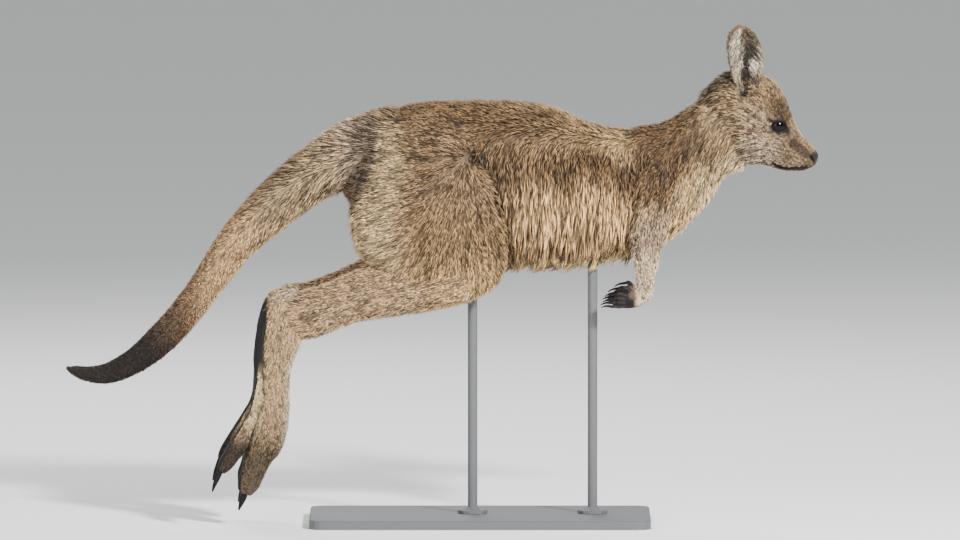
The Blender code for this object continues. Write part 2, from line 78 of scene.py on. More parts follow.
TAIL = [
    (-0.557, 0, 0.209, 0.003, 0.003, 0.003, 0.001),
    (-0.546, 0, 0.205, 0.008, 0.008, 0.008, 0.0015),
    (-0.527, 0, 0.201, 0.011, 0.012, 0.012, 0.002),
    (-0.499, 0, 0.203, 0.0145, 0.0155, 0.015, 0.0025),
    (-0.466, 0, 0.219, 0.017, 0.0185, 0.018, 0.003),
    (-0.431, 0, 0.248, 0.02, 0.022, 0.02, 0.003),
    (-0.395, 0, 0.288, 0.021, 0.023, 0.022, 0.0035),
    (-0.365, 0, 0.331, 0.022, 0.025, 0.024, 0.004),
    (-0.332, 0, 0.377, 0.026, 0.029, 0.028, 0.0045),
    (-0.29, 0, 0.422, 0.03, 0.036, 0.034, 0.005),
    (-0.249, 0, 0.456, 0.034, 0.039, 0.039, 0.0055),
    (-0.212, 0, 0.48, 0.038, 0.041, 0.045, 0.006),
    (-0.165, 0, 0.5, 0.049, 0.05, 0.052, 0.006),
    (-0.11, 0, 0.505, 0.06, 0.06, 0.06, 0.006),
    (-0.04, 0, 0.5, 0.05, 0.05, 0.05, 0.006),
]
HEAD = [
    (0.31, 0, 0.552, 0.03, 0.03, 0.026, 0.007),
    (0.322, 0, 0.557, 0.04, 0.036, 0.034, 0.0065),
    (0.336, 0, 0.558, 0.056, 0.046, 0.04, 0.006),
    (0.351, 0, 0.553, 0.062, 0.054, 0.0425, 0.005),
    (0.367, 0, 0.544, 0.062, 0.061, 0.044, 0.0042),
    (0.386, 0, 0.533, 0.051, 0.056, 0.0425, 0.0034),
    (0.404, 0, 0.5225, 0.0335, 0.046, 0.036, 0.0026),
    (0.42, 0, 0.513, 0.0205, 0.0405, 0.0275, 0.0018),
    (0.4335, 0, 0.505, 0.0145, 0.035, 0.021, 0.0012),
    (0.444, 0, 0.498, 0.0115, 0.0265, 0.0175, 0.0008),
    (0.4515, 0, 0.494, 0.008, 0.016, 0.014, 0.0005),
    (0.4555, 0, 0.4925, 0.004, 0.007, 0.008, 0.0003),
]
THIGH = [
    (-0.076, 0.036, 0.548, 0.05, 0.044, 0.019, 0.005),
    (-0.073, 0.045, 0.505, 0.084, 0.082, 0.0305, 0.0055),
    (-0.07, 0.052, 0.455, 0.101, 0.103, 0.0405, 0.006),
    (-0.067, 0.057, 0.41, 0.105, 0.109, 0.044, 0.006),
    (-0.065, 0.0595, 0.372, 0.104, 0.1, 0.042, 0.006),
    (-0.065, 0.06, 0.343, 0.099, 0.075, 0.0365, 0.006),
    (-0.065, 0.06, 0.322, 0.083, 0.048, 0.029, 0.0055),
    (-0.065, 0.06, 0.307, 0.056, 0.022, 0.019, 0.005),
]
SHANK = [
    (-0.006, 0.0595, 0.34, 0.03, 0.03, 0.024, 0.005),
    (-0.02, 0.0595, 0.338, 0.037, 0.04, 0.032, 0.005),
    (-0.042, 0.0595, 0.336, 0.041, 0.045, 0.036, 0.005),
    (-0.081, 0.0585, 0.33, 0.043, 0.047, 0.035, 0.005),
    (-0.128, 0.0565, 0.32, 0.04, 0.042, 0.03, 0.0045),
    (-0.169, 0.0535, 0.309, 0.036, 0.034, 0.026, 0.0045),
    (-0.203, 0.0515, 0.297, 0.035, 0.032, 0.023, 0.0045),
    (-0.234, 0.05, 0.286, 0.037, 0.034, 0.021, 0.005),
    (-0.258, 0.0495, 0.285, 0.032, 0.034, 0.02, 0.0045),
    (-0.275, 0.0495, 0.288, 0.022, 0.025, 0.016, 0.004),
]
FOOT = [
    (-0.27, 0.05, 0.307, 0.014, 0.014, 0.012, 0.003),
    (-0.268, 0.05, 0.292, 0.028, 0.025, 0.018, 0.0035),
    (-0.27, 0.05, 0.262, 0.034, 0.031, 0.02, 0.0035),
    (-0.277, 0.05, 0.232, 0.029, 0.028, 0.0195, 0.003),
    (-0.281, 0.05, 0.2, 0.026, 0.026, 0.019, 0.0025),
    (-0.282, 0.05, 0.165, 0.0265, 0.027, 0.02, 0.0025),
    (-0.285, 0.05, 0.135, 0.027, 0.026, 0.021, 0.0022),
    (-0.291, 0.05, 0.112, 0.026, 0.024, 0.021, 0.002),
    (-0.3, 0.05, 0.092, 0.0205, 0.02, 0.0185, 0.0018),
    (-0.307, 0.05, 0.0715, 0.0175, 0.017, 0.016, 0.0015),
    (-0.313, 0.05, 0.0555, 0.0155, 0.0155, 0.014, 0.001),
    (-0.318, 0.05, 0.044, 0.01, 0.01, 0.009, 0.0008),
]
TOE_FIVE = [
    (-0.292, 0.06, 0.205, 0.01, 0.011, 0.009, 0.002),
    (-0.299, 0.064, 0.16, 0.012, 0.012, 0.0115, 0.002),
    (-0.309, 0.068, 0.136, 0.014, 0.014, 0.013, 0.002),
    (-0.321, 0.071, 0.116, 0.0145, 0.014, 0.013, 0.0015),
    (-0.334, 0.073, 0.0985, 0.0125, 0.012, 0.0125, 0.0012),
    (-0.343, 0.074, 0.085, 0.011, 0.0105, 0.011, 0.001),
    (-0.349, 0.074, 0.0755, 0.007, 0.007, 0.007, 0.0008),
]
TOES_TWO_THREE = [
    (-0.27, 0.037, 0.19, 0.008, 0.009, 0.007, 0.0015),
    (-0.274, 0.032, 0.15, 0.009, 0.009, 0.008, 0.0015),
    (-0.281, 0.03, 0.118, 0.009, 0.009, 0.009, 0.0012),
    (-0.29, 0.03, 0.098, 0.008, 0.008, 0.009, 0.001),
    (-0.295, 0.03, 0.09, 0.005, 0.005, 0.006, 0.0008),
]
ARM = [
    (0.256, 0.026, 0.5, 0.026, 0.028, 0.016, 0.006),
    (0.25, 0.033, 0.48, 0.038, 0.038, 0.024, 0.006),
    (0.241, 0.041, 0.455, 0.038, 0.038, 0.026, 0.006),
    (0.23, 0.0465, 0.425, 0.031, 0.032, 0.024, 0.0055),
    (0.225, 0.0495, 0.398, 0.026, 0.026, 0.021, 0.005),
    (0.225, 0.0505, 0.375, 0.021, 0.023, 0.018, 0.0042),
    (0.2235, 0.05, 0.35, 0.016, 0.0175, 0.0145, 0.0035),
    (0.2225, 0.0485, 0.332, 0.013, 0.0135, 0.0125, 0.003),
    (0.221, 0.047, 0.319, 0.0115, 0.012, 0.011, 0.0025),
    (0.218, 0.0455, 0.309, 0.008, 0.009, 0.009, 0.002),
]
PALM_Y = 0.047
PAW = [
    (0.228, PALM_Y, 0.316, 0.008, 0.008, 0.008, 0.0015),
    (0.217, PALM_Y, 0.31, 0.012, 0.011, 0.01, 0.0015),
    (0.205, PALM_Y, 0.305, 0.0125, 0.0125, 0.0095, 0.001),
    (0.193, PALM_Y, 0.304, 0.0115, 0.0125, 0.0085, 0.0008),
    (0.184, PALM_Y, 0.304, 0.008, 0.009, 0.006, 0.0006),
]
# Fingers from the thumb down: root x, z; knuckle x, z; tip x, z; how far each sits from the palm.
FINGERS = [
    ((0.205, 0.314), (0.198, 0.3205), (0.192, 0.319), -0.004),
    ((0.197, 0.311), (0.189, 0.3135), (0.183, 0.312), -0.001),
    ((0.195, 0.306), (0.185, 0.3075), (0.179, 0.306), 0.001),
    ((0.195, 0.301), (0.184, 0.3015), (0.176, 0.3005), 0.001),
    ((0.197, 0.296), (0.186, 0.2955), (0.177, 0.2955), -0.001),
]
FINGER_RADIUS = 0.0030
KNUCKLE_SWELL = 1.05
FINGER_TIP_SHARE = 0.62
FINGER_COAT = 0.0004
# The least share of its size that a section keeps under the coat.
LEAST_SHARE = 0.35
# The depth of the coat on the back, as a share of the depth in its rows.
BACK_COAT = 0.6
RING_POINTS = 44
STEPS_PER_ROW = 6

# --- ears
EAR_LENGTH = 0.0835
EAR_HALF_WIDTH = 0.0245
EAR_DEPTH = 0.015
EAR_THICKNESS = 0.0036
EAR_COAT = 0.0012
EAR_ROOT = np.array((0.3605, 0.026, 0.586))
EAR_OUTWARD = 0.020
EAR_BACKWARD = 0.009
EAR_WIDEST = 0.52
EAR_ROOT_SHARE = 0.55
EAR_TIP_FULLNESS = 2.7
EAR_TIP_SHARE = 0.06
EAR_FLATTENING = 0.75
# A little over 1, so that the ear keeps a rim.
EAR_RIM = 1.02
EAR_ROWS = 30
EAR_COLUMNS = 24

# --- eyes, claws, whiskers
EYE_RADIUS = 0.0119
EYE_CENTRE = np.array((0.4015, 0.0238, 0.5385))
EYE_HALF_LENGTH = 0.0088
EYE_ABOVE = 0.0056
EYE_BELOW = 0.0070
EYE_CORNER_DROP = 0.0018
EYE_RINGS = 33
EYE_POINTS = 48
# How far from the middle of the eye, in radians, the pupil gives way to the iris, and that to the rim.
IRIS_START = (0.36, 0.44)
IRIS_END = (0.62, 0.74)
# The eye looks out to the side, a little forward and up.
EYE_LOOK = np.array((0.22, 1, 0.06))
LID_THICKNESS = 0.0007
LID_LEAST_BULGE = 0.004
LID_OPENING_DEPTH = 0.006
# Shares of the eye's opening: where its edge is, how far the lids reach, and a place far from it.
LID_EDGE = (1.12, 0.9)
LID_REACH = (1.9, 1.25)
FAR_FROM_EYE = 9
LID_POINTS = 56
LID_SECTION_POINTS = 12
LID_RIM_WIDTH = 0.0012
LID_RIM_SWELL = 0.0006
LID_RIM_HEIGHT = 0.0011
NOSTRIL = (0.4470, 0.4935)
NOSTRIL_HALF_LENGTH = 0.0042
NOSTRIL_HALF_HEIGHT = 0.0070
NOSTRIL_LEAN = 0.45
NOSTRIL_CURVE = 60
NOSTRIL_DEPTH = 0.005
NOSTRIL_RIM = 0.0012
NOSE_PAD = (0.4510, 0.4955)
NOSE_HALF_LENGTH = 0.0095
NOSE_HALF_HEIGHT = 0.0105
HIND_CLAWS = {
    "four": (0.050, [
        (-0.316, 0.054, 0.005),
        (-0.3185, 0.04, 0.0048),
        (-0.322, 0.03, 0.0034),
        (-0.3255, 0.0205, 0.001),
    ]),
    "five": (0.074, [
        (-0.3475, 0.082, 0.0042),
        (-0.3525, 0.069, 0.004),
        (-0.357, 0.058, 0.0028),
        (-0.3605, 0.0475, 0.0009),
    ]),
    "two_three": (0.030, [
        (-0.292, 0.096, 0.0034),
        (-0.297, 0.085, 0.0032),
        (-0.3005, 0.077, 0.0023),
        (-0.303, 0.07, 0.0009),
    ]),
}
CLAW_RING_POINTS = 16
CLAW_STEPS = 5
LASHES = 16
LASH_TURNS = (0.35, 2.7)
LASH_LENGTHS = (0.005, 0.007)
LASH_LEAN = np.array((0.25, 0, 0.15))
LASH_STRAY = 0.12
LASH_RISE = 0.0008
WHISKER_SPREAD = (0.005, 0.0035)
WHISKER_LENGTHS = (0.7, 1.1)
WHISKER_STRAY = 0.15
WHISKER_DROOP = np.array((-0.1, 0, -0.12))
# A place beside the head, from which a whisker finds the skin.
HEAD_SIDE = 0.05
HAIR_WIDTH = 0.00045
# Where the whiskers grow: x, z, how many, how long, and the way they lean.
WHISKERS = (
    (0.431, 0.491, 9, 0.026, (-0.7, 0, -0.3)),
    (0.408, 0.558, 4, 0.024, (0.5, 0, 0.9)),
    (0.385, 0.505, 3, 0.02, (-0.7, 0, -0.4)),
)
FRONT_CLAW_LENGTH = 0.0135
FRONT_CLAW_SHARES = (0.0, 0.35, 0.7, 1.0)
FRONT_CLAW_SEAT = 0.004
FRONT_CLAW_RADIUS = 0.0019
CLAW_POINT_RADIUS = 0.0006
FRONT_CLAW_ARCH = 0.0022
FRONT_CLAW_HOOK = 0.0035
CLAW_TAPER = 1.3

# --- folds and lines
# The swirl high on the hip, and lines across the animal's side. Each point is x, z.
WHORL = (-0.016, 0.499)
WHORL_DEPTH = 0.004
WHORL_REACH = 0.014
THIGH_FOLD = ((0.0445, 0.350), (0.0405, 0.373), (0.031, 0.4185), (0.023, 0.4495), (0.0135, 0.484),
              (-0.009, 0.494))
TAIL_FOLD = ((-0.178, 0.400), (-0.162, 0.425), (-0.147, 0.454), (-0.137, 0.492), (-0.130, 0.530))
ARM_FOLD = ((0.206, 0.352), (0.204, 0.395), (0.204, 0.420), (0.208, 0.450), (0.206, 0.475))
FOOT_SEAM = ((-0.313, 0.105), (-0.2997, 0.146), (-0.291, 0.173), (-0.2916, 0.200), (-0.2915, 0.228),
             (-0.29, 0.254), (-0.285, 0.281), (-0.288, 0.302))
HEEL_PAD = 0.0035
PALM_PAD = (0.206, 0.3115)
NECK_FOLD = ((0.279, 0.548), (0.301, 0.504), (0.320, 0.481))
MOUTH = ((0.394, 0.4874), (0.400, 0.4850), (0.408, 0.4812), (0.417, 0.4799), (0.430, 0.4804),
         (0.44, 0.482))
MOUTH_DEPTH = 0.0018
MOUTH_REACH = 0.0040
MUZZLE_SHADE = ((0.4225, 0.5140), (0.430, 0.5080), (0.440, 0.4990))
EYE_CORNER = ((0.3895, 0.5468), (0.398, 0.5425))
JAW_FOLD = ((0.346, 0.495), (0.3415, 0.517), (0.344, 0.537))
EAR_SLIT = ((0.3548, 0.580), (0.3565, 0.610))
# The folds that are pressed into the skin, how deep each is, and how far it reaches.
PRESSED = (
    (THIGH_FOLD, 0.0045, 0.012), (TAIL_FOLD, 0.005, 0.014), (ARM_FOLD, 0.003, 0.012),
    (JAW_FOLD, 0.0025, 0.010), (EAR_SLIT, 0.006, 0.008), (FOOT_SEAM, 0.0018, 0.005),
)

# --- skin
VOXEL = 0.0016
SMOOTHING_ROUNDS = 3
SKIN_SHARE = 0.30
FIELD_ROUNDS = 14
# How light the skin is under its tufts, as a share of their colour.
SKIN_TONE = 0.6
PARTS = ("trunk", "tail", "head", "thigh", "shank", "foot", "toe", "arm", "paw", "ear")

# --- coat
TUFTS = 228000
COAT_PIECES = 8
BAKE_PATCH = 0.003
# The room that the shelves of charts get, and how much of the map they fill.
CHART_SPARE = 1.12
CHART_FILL = 0.99
TUFT_WIDTH = 0.0004
TUFT_WIDENING = 0.06
SPACING_BY_WIDTH = 0.9
SPACING_BY_LENGTH = 0.05
SHORTEST_TUFT = 0.0022
FINEST_TUFT = 0.00055
WIDEST_TUFT = 0.0015
LONG_TUFT = 0.020
# Where each ring of a tuft sits along it, and its width there.
SHORT_STATIONS = ((0.42, 1.0),)
LONG_STATIONS = ((0.25, 1.0), (0.65, 0.8))
TUFT_SECTION = ((-1.0, -0.3), (1.0, -0.3), (0.0, 0.6))
ROOT_DEPTH = 0.0006
# How light a tuft is at its root and at its tip, and how late along it the light comes. The dark
# roots are partly the grey undercoat and partly painted shade deep in the coat.
SHORT_LEVELS = (0.2, 1.6, 1.3)
LONG_LEVELS = (0.25, 1.35, 0.8)
LIGHTEST = 0.82
LENGTH_SPREAD = (0.75, 1.2)
WIDTH_SPREAD = (0.75, 1.25)
RISE_SPREAD = (0.5, 1.2)
RISE_LIMITS = (0.05, 0.75)
GATHER_SPREAD = (0.4, 1.5)
GATHER_LIMIT = 0.92
SHADE_LIMITS = (-1.8, 0.7)
WARMTH_SPREAD = 0.03
TUFT_SPREAD = 0.6
STREAK_SPREAD = 0.55
LOCK_SPREAD = 0.85
STREAK_STEPS = 4
STREAK_STEP_SHARE = 0.22

# --- camera and lights
CAMERA_DISTANCE = 20.0
CAMERA_ELEVATION = math.radians(4)
CAMERA_TARGET = Vector((0, 0, 0.3416))
VIEW_WIDTH = 1.296
SENSOR = 36.0
SKY = (0.86, 0.88, 0.90, 1)
SKY_STRENGTH = 0.66
LIGHT_TARGET = (0, 0, 0.4)
# Each light's name, place, width and watts.
LIGHTS = (
    ("key", (1.9, -3.0, 2.3), 0.5, 500),
    ("fill", (-2.4, -3.4, 1.2), 3.0, 100),
    ("rim", (-0.8, 2.4, 2.8), 2.0, 110),
)
FLOOR_REACH = 60
FLOOR_GREYS = ((0.74, 0.74, 0.73), (0.78, 0.78, 0.77))


# --- small tools
def unit(vectors):
    return vectors / np.maximum(np.linalg.norm(vectors, axis=-1, keepdims=True), 1e-9)


def ramp(value, low, high):
    """0 at low, 1 at high, and a smooth step between them, whichever of the two is larger."""
    share = np.clip((value - low) / (high - low), 0, 1)
    return share * share * (3 - 2 * share)


def near(value, middle, width):
    """1 at the middle, falling smoothly to 0 at that distance from it."""
    return ramp(np.abs(value - middle), width, 0.0)


def near_spot(x, z, spot, width, stretch=(1, 1)):
    """1 at a spot on the animal's side, falling to 0 round it, sooner along a stretched axis."""
    return near(np.hypot((x - spot[0]) * stretch[0], (z - spot[1]) * stretch[1]), 0, width)


def near_line(x, z, line, width):
    """1 on a line across the animal's side, falling to 0 at that distance from it."""
    line = np.array(line)
    place = np.stack([x, z], axis=1)
    nearest = np.full(len(x), np.inf)
    for start, end in zip(line[:-1], line[1:]):
        way = end - start
        share = np.clip((place - start) @ way / (way @ way), 0, 1)
        nearest = np.minimum(nearest, np.linalg.norm(place - start - share[:, None] * way, axis=1))
    return near(nearest, 0, width)


def firm(share, times, most=1):
    """A share made that many times as strong, up to the most it may be."""
    return np.clip(times * share, 0, most)


def line_at(x, line):
    """The height of a line across the animal's side, at each place along it."""
    places, heights = np.array(line).T
    return np.interp(x, places, heights)


def line_x(z, line):
    """Where a line that rises from its first point to its last is at each height."""
    places, heights = np.array(line).T
    return np.interp(z, heights, places)


def mix(one, two, share):
    return one + (two - one) * np.asarray(share)[..., None]


def linear(*rgb):
    """A colour written from 0 to 255, as the linear light a shader takes."""
    share = np.array(rgb) / 255
    return np.where(share < 0.04045, share / 12.92, ((share + 0.055) / 1.055) ** 2.4)


def dot(one, two):
    return (one * two).sum(-1)


def speckle(points, size):
    """Uneven spots about this size, 0 to 1, alike on both sides."""
    x, y, z = points.T / size
    waves = np.sin(3.1 * x + 1.9 * z + 1) + np.sin(2.7 * z - 2.9 * x + 4)
    return ramp(waves + np.sin(3.3 * np.abs(y) + 2.1 * z + 1.7 * x), -1.1, 1.1)


def tree_of(places):
    tree = KDTree(len(places))
    for index, place in enumerate(places):
        tree.insert(place, index)
    tree.balance()
    return tree


# --- lofts
def smooth_rows(rows, steps):
    """The rows, with a smooth run of rows between each pair (Catmull-Rom)."""
    rows = np.array(rows, float)
    padded = np.vstack([rows[:1], rows, rows[-1:]])
    t = (np.arange(steps) / steps)[:, None]
    runs = [
        0.5 * (2 * b + (c - a) * t + (2 * a - 5 * b + 4 * c - d) * t**2
               + (3 * b - a - 3 * c + d) * t**3)
        for a, b, c, d in zip(padded, padded[1:], padded[2:], padded[3:])
    ]
    return np.vstack([*runs, rows[-1:]])


def loft(rows, side=1, shift=NO_SHIFT, top_coat=1.0, points=RING_POINTS, steps=STEPS_PER_ROW):
    """Rings of a body of oval sections, less the coat, and the coat's depth at each point."""
    rows = smooth_rows(rows, steps)
    centres = rows[:, :3] * (1, side, 1) + shift
    ahead = np.gradient(centres, axis=0)
    up = unit(np.cross(ahead, (0, 1, 0)))
    across = unit(np.cross(up, ahead))
    angle = np.linspace(0, 2 * np.pi, points, endpoint=False)[None]
    above, below, half, coat = (column[:, None] for column in rows[:, 3:].T)
    coat = coat * (1 + (top_coat - 1) * np.clip(np.sin(angle), 0, 1))
    reach = np.where(np.sin(angle) > 0, above, below)
    reach, half = (np.maximum(size - coat, size * LEAST_SHARE)[..., None] for size in (reach, half))
    angle = angle[..., None]
    rings = centres[:, None] + across[:, None] * half * np.cos(angle) + up[:, None] * reach * np.sin(angle)
    return rings, coat


def finger_rows(finger):
    *joints, off = finger
    sizes = [FINGER_RADIUS * share for share in (1.0, KNUCKLE_SWELL, FINGER_TIP_SHARE)]
    return [(x, PALM_Y - off, z, size, size, size, FINGER_COAT)
            for (x, z), size in zip(joints, sizes)]


def ear_half_width(along):
    """Narrow at the root, widest about halfway and round at the tip."""
    if along > EAR_WIDEST:
        beyond = (along - EAR_WIDEST) / (1 - EAR_WIDEST)
        return EAR_HALF_WIDTH * math.sqrt(max(1 - beyond**EAR_TIP_FULLNESS, 0.0))
    widening = math.sin(along / EAR_WIDEST * math.pi / 2)
    return EAR_HALF_WIDTH * (EAR_ROOT_SHARE + (1 - EAR_ROOT_SHARE) * widening)


def ear_rings(side):
    """A thin cup open to the animal's side. Each ring runs over its inner face, then its back."""
    over = np.linspace(-1, 1, EAR_COLUMNS)
    rings = []
    for along in np.sin(np.linspace(0, np.pi / 2, EAR_ROWS)):
        half = max(ear_half_width(along), EAR_HALF_WIDTH * EAR_TIP_SHARE)
        cup = EAR_DEPTH * (1 - EAR_FLATTENING * along)
        centre = EAR_ROOT + (-EAR_BACKWARD * along**2, EAR_OUTWARD * along, EAR_LENGTH * along)
        middle = centre + np.stack([half * over, -cup * (1 - over**2), 0 * over], axis=1)
        out = unit(np.stack([-2 * cup * over, half + 0 * over, 0 * over], axis=1))
        thick = (EAR_THICKNESS / 2 * np.sqrt(EAR_RIM - over**2))[:, None]
        rings.append(np.vstack([middle + out * thick, (middle - out * thick)[::-1]]))
    return np.array(rings) * (1, side, 1), np.full((EAR_ROWS, 2 * EAR_COLUMNS), EAR_COAT)


def shifts(side):
    """How far this side's leg and arm are moved from their rows."""
    return (LEFT_LEG_SHIFT, LEFT_ARM_SHIFT) if side > 0 else (NO_SHIFT, NO_SHIFT)


def body_lofts():
    """Each loft: its part, its rings, its coat, and 1 if the hair lies toward its last ring."""
    made = [("trunk", *loft(TRUNK, top_coat=BACK_COAT), -1), ("tail", *loft(TAIL), -1),
            ("head", *loft(HEAD), -1)]
    for side in SIDES.values():
        leg, arm = shifts(side)
        for part, rows, shift in (
            ("thigh", THIGH, leg), ("shank", SHANK, leg), ("foot", FOOT, leg),
            ("toe", TOE_FIVE, leg), ("toe", TOES_TWO_THREE, leg), ("arm", ARM, arm),
            ("paw", PAW, arm), *(("paw", finger_rows(finger), arm) for finger in FINGERS),
        ):
            made.append((part, *loft(rows, side, shift), 1))
        made.append(("ear", *ear_rings(side), 1))
    return [SimpleNamespace(part=part, rings=rings, coat=coat, lie=lie) for part, rings, coat, lie in made]


def ring_quads(count, points, base=0):
    """The four corners of each face between rings, ring by ring."""
    ring, spot = np.meshgrid(np.arange(count - 1), np.arange(points), indexing="ij")
    after = (spot + 1) % points
    corners = [ring * points + spot, ring * points + after, (ring + 1) * points + after,
               (ring + 1) * points + spot]
    return np.stack(corners, axis=-1).reshape(-1, 4) + base


def loft_mesh(lofts):
    """All the lofts' points and side faces, and the closing faces of each."""
    points, quads, caps, base = [], [], [], 0
    for body in lofts:
        count, around = body.rings.shape[:2]
        points.append(body.rings.reshape(-1, 3))
        quads.append(ring_quads(count, around, base))
        caps.append(list(range(base, base + around)))
        base += count * around
        caps.append(list(range(base - around, base)))
    return np.vstack(points), np.vstack(quads), caps


# --- meshes
def mesh_object(name, points, faces):
    """An object from points and faces of three corners each."""
    mesh = bpy.data.meshes.new(name)
    faces = np.asarray(faces, np.int32)
    mesh.vertices.add(len(points))
    mesh.vertices.foreach_set("co", np.asarray(points, np.float32).ravel())
    mesh.loops.add(faces.size)
    mesh.loops.foreach_set("vertex_index", faces.ravel())
    mesh.polygons.add(len(faces))
    mesh.polygons.foreach_set("loop_start", np.arange(0, faces.size, 3, dtype=np.int32))
    mesh.polygons.foreach_set("use_smooth", np.ones(len(faces), bool))
    mesh.update(calc_edges=True)
    return link(bpy.data.objects.new(name, mesh))


def link(obj):
    bpy.context.scene.collection.objects.link(obj)
    return obj


def paint(obj, colours):
    """Keeps a colour at each point, for the material to read."""
    layer = obj.data.color_attributes.new("Coat", "FLOAT_COLOR", "POINT")
    layer.data.foreach_set("color", np.c_[colours, np.ones(len(colours))].astype(np.float32).ravel())


def settle(obj, material, slot, *replaced):
    """Gives a piece its material, hides the solids it stands in for and hangs it from the root."""
    obj.data.materials.append(material)
    if replaced:
        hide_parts(*replaced)
    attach(obj, "root")


def apply_modifiers(obj):
    graph = bpy.context.evaluated_depsgraph_get()
    made = bpy.data.meshes.new_from_object(obj.evaluated_get(graph))
    obj.modifiers.clear()
    before, obj.data = obj.data, made
    bpy.data.meshes.remove(before)


def arrays_of(obj):
    mesh = obj.data
    mesh.calc_loop_triangles()
    points = np.empty(len(mesh.vertices) * 3, np.float32)
    mesh.vertices.foreach_get("co", points)
    faces = np.empty(len(mesh.loop_triangles) * 3, np.int32)
    mesh.loop_triangles.foreach_get("vertices", faces)
    return points.reshape(-1, 3).astype(float), faces.reshape(-1, 3)


def face_normals(points, faces):
    """Each face's outward way, as long as twice its area."""
    corners = points[faces]
    return np.cross(corners[:, 1] - corners[:, 0], corners[:, 2] - corners[:, 0])


def normals_of(points, faces):
    flat = face_normals(points, faces)
    total = np.zeros_like(points)
    for corner in range(3):
        for axis in range(3):
            total[:, axis] += np.bincount(faces[:, corner], flat[:, axis], len(points))
    return unit(total)


# --- skin
def whole_skin(lofts):
    """One closed skin round all the lofts, finer on the head, ears, paws and feet."""
    points, quads, caps = loft_mesh(lofts)
    mesh = bpy.data.meshes.new("lofts")
    mesh.from_pydata(points.tolist(), [], quads.tolist() + caps)
    obj = link(bpy.data.objects.new("lofts", mesh))
    remesh = obj.modifiers.new("one skin", "REMESH")
    remesh.mode = "VOXEL"
    remesh.voxel_size = VOXEL
    soft = obj.modifiers.new("soft", "SMOOTH")
    soft.factor = 0.5
    soft.iterations = SMOOTHING_ROUNDS
    apply_modifiers(obj)
    x, _, z = arrays_of(obj)[0].T
    fine = [ramp(x, 0.36, 0.38), ramp(z, 0.58, 0.60), ramp(z, 0.335, 0.325) * ramp(x, 0.15, 0.16),
            ramp(z, 0.16, 0.14)]
    plain = np.round(1 - np.max(fine, axis=0), 1)
    group = obj.vertex_groups.new(name="plain")
    for level in np.unique(plain):
        group.add(np.flatnonzero(plain == level).tolist(), float(level), "REPLACE")
    thin = obj.modifiers.new("thin", "DECIMATE")
    thin.ratio = SKIN_SHARE
    thin.vertex_group = group.name
    apply_modifiers(obj)
    points, faces = arrays_of(obj)
    bpy.data.objects.remove(obj, do_unlink=True)
    return sculpt(points, normals_of(points, faces)), faces


def sculpt(points, normals):
    """Presses the folds, the mouth and the nostrils in, and the pad of the heel out."""
    x, _, z = points.T
    press = sum(depth * near_line(x, z, line, width) for line, depth, width in PRESSED)
    press += WHORL_DEPTH * near_spot(x, z, WHORL, WHORL_REACH)
    press -= HEEL_PAD * heel_share(x, z) * ramp(normals[:, 0], -0.2, -0.5)
    press += MOUTH_DEPTH * ramp(x, 0.385, 0.39) * near_line(x, z, MOUTH, MOUTH_REACH)
    nostril = nostril_share(x, z)
    rim = ramp(nostril_share(x - 0.0012, z + 0.001), 0.0, 0.2) * (nostril < 0.1)
    press += NOSTRIL_DEPTH * nostril - NOSTRIL_RIM * rim
    points = points - normals * (press * ramp(np.abs(normals[:, 1]), 0.2, 0.5))[:, None]
    for side in SIDES.values():
        points = set_eye(points, side)
    return points


def heel_share(x, z):
    """1 on the bare dark skin behind the heel."""
    return ramp(x - line_x(z, FOOT_SEAM), 0.001, -0.0015) * ramp(z, 0.200, 0.215) * ramp(z, 0.312, 0.304)


def nostril_share(x, z):
    """1 in the middle of the nostril, a slanting comma, and 0 round it."""
    ahead, up = x - NOSTRIL[0], z - NOSTRIL[1]
    lean = ahead + NOSTRIL_LEAN * up - NOSTRIL_CURVE * up**2
    return near(np.hypot(lean / NOSTRIL_HALF_LENGTH, up / NOSTRIL_HALF_HEIGHT), 0, 1)


def eye_axes(side):
    """The way the eye looks, and the ways ahead and up across it."""
    look = unit(EYE_LOOK * (1, side, 1))
    up = unit(np.array((0.0, 0.0, 1.0)) - look * look[2])
    ahead = np.cross(up, look) * -side
    return look, ahead, up


def eye_share(points, side):
    """Where each point is about the eye: across, up and out of it, and its distance from the
    middle as a share of the eye's opening, an almond with its front corner drawn down."""
    look, ahead, up = eye_axes(side)
    place = points - EYE_CENTRE * (1, side, 1)
    across, rise, out = place @ ahead, place @ up, place @ look
    corner = np.clip(across / EYE_HALF_LENGTH, 0, 1.6) ** 3
    rise_here = rise + EYE_CORNER_DROP * corner
    half_height = np.where(rise_here > 0, EYE_ABOVE, EYE_BELOW)
    share = np.hypot(across / EYE_HALF_LENGTH, rise_here / half_height)
    return across, rise, out, np.where(out > 0, share, FAR_FROM_EYE)


def eye_shares(points):
    return np.minimum(*(eye_share(points, side)[3] for side in SIDES.values()))


def set_eye(points, side):
    """Draws the skin over the eyeball as its lids, and opens it between them."""
    across, rise, out, share = eye_share(points, side)
    ball = (EYE_RADIUS + LID_THICKNESS) ** 2 - across**2 - rise**2
    lid = np.sqrt(np.maximum(ball, LID_LEAST_BULGE**2)) - LID_OPENING_DEPTH * ramp(share, *LID_EDGE)
    change = (lid - out) * ramp(share, *LID_REACH)
    return points + eye_axes(side)[0] * change[:, None]


def spread(values, faces, rounds):
    """Averages each point's values with its neighbours', that many times."""
    pairs = np.vstack([faces[:, [0, 1]], faces[:, [1, 2]], faces[:, [2, 0]]])
    count = np.bincount(pairs[:, 0], minlength=len(values)) + np.bincount(pairs[:, 1], minlength=len(values))
    for _ in range(rounds):
        total = np.stack([
            np.bincount(pairs[:, 0], column[pairs[:, 1]], len(values))
            + np.bincount(pairs[:, 1], column[pairs[:, 0]], len(values))
            for column in values.T
        ], axis=1)
        values = 0.5 * values + 0.5 * total / np.maximum(count, 1)[:, None]
    return values


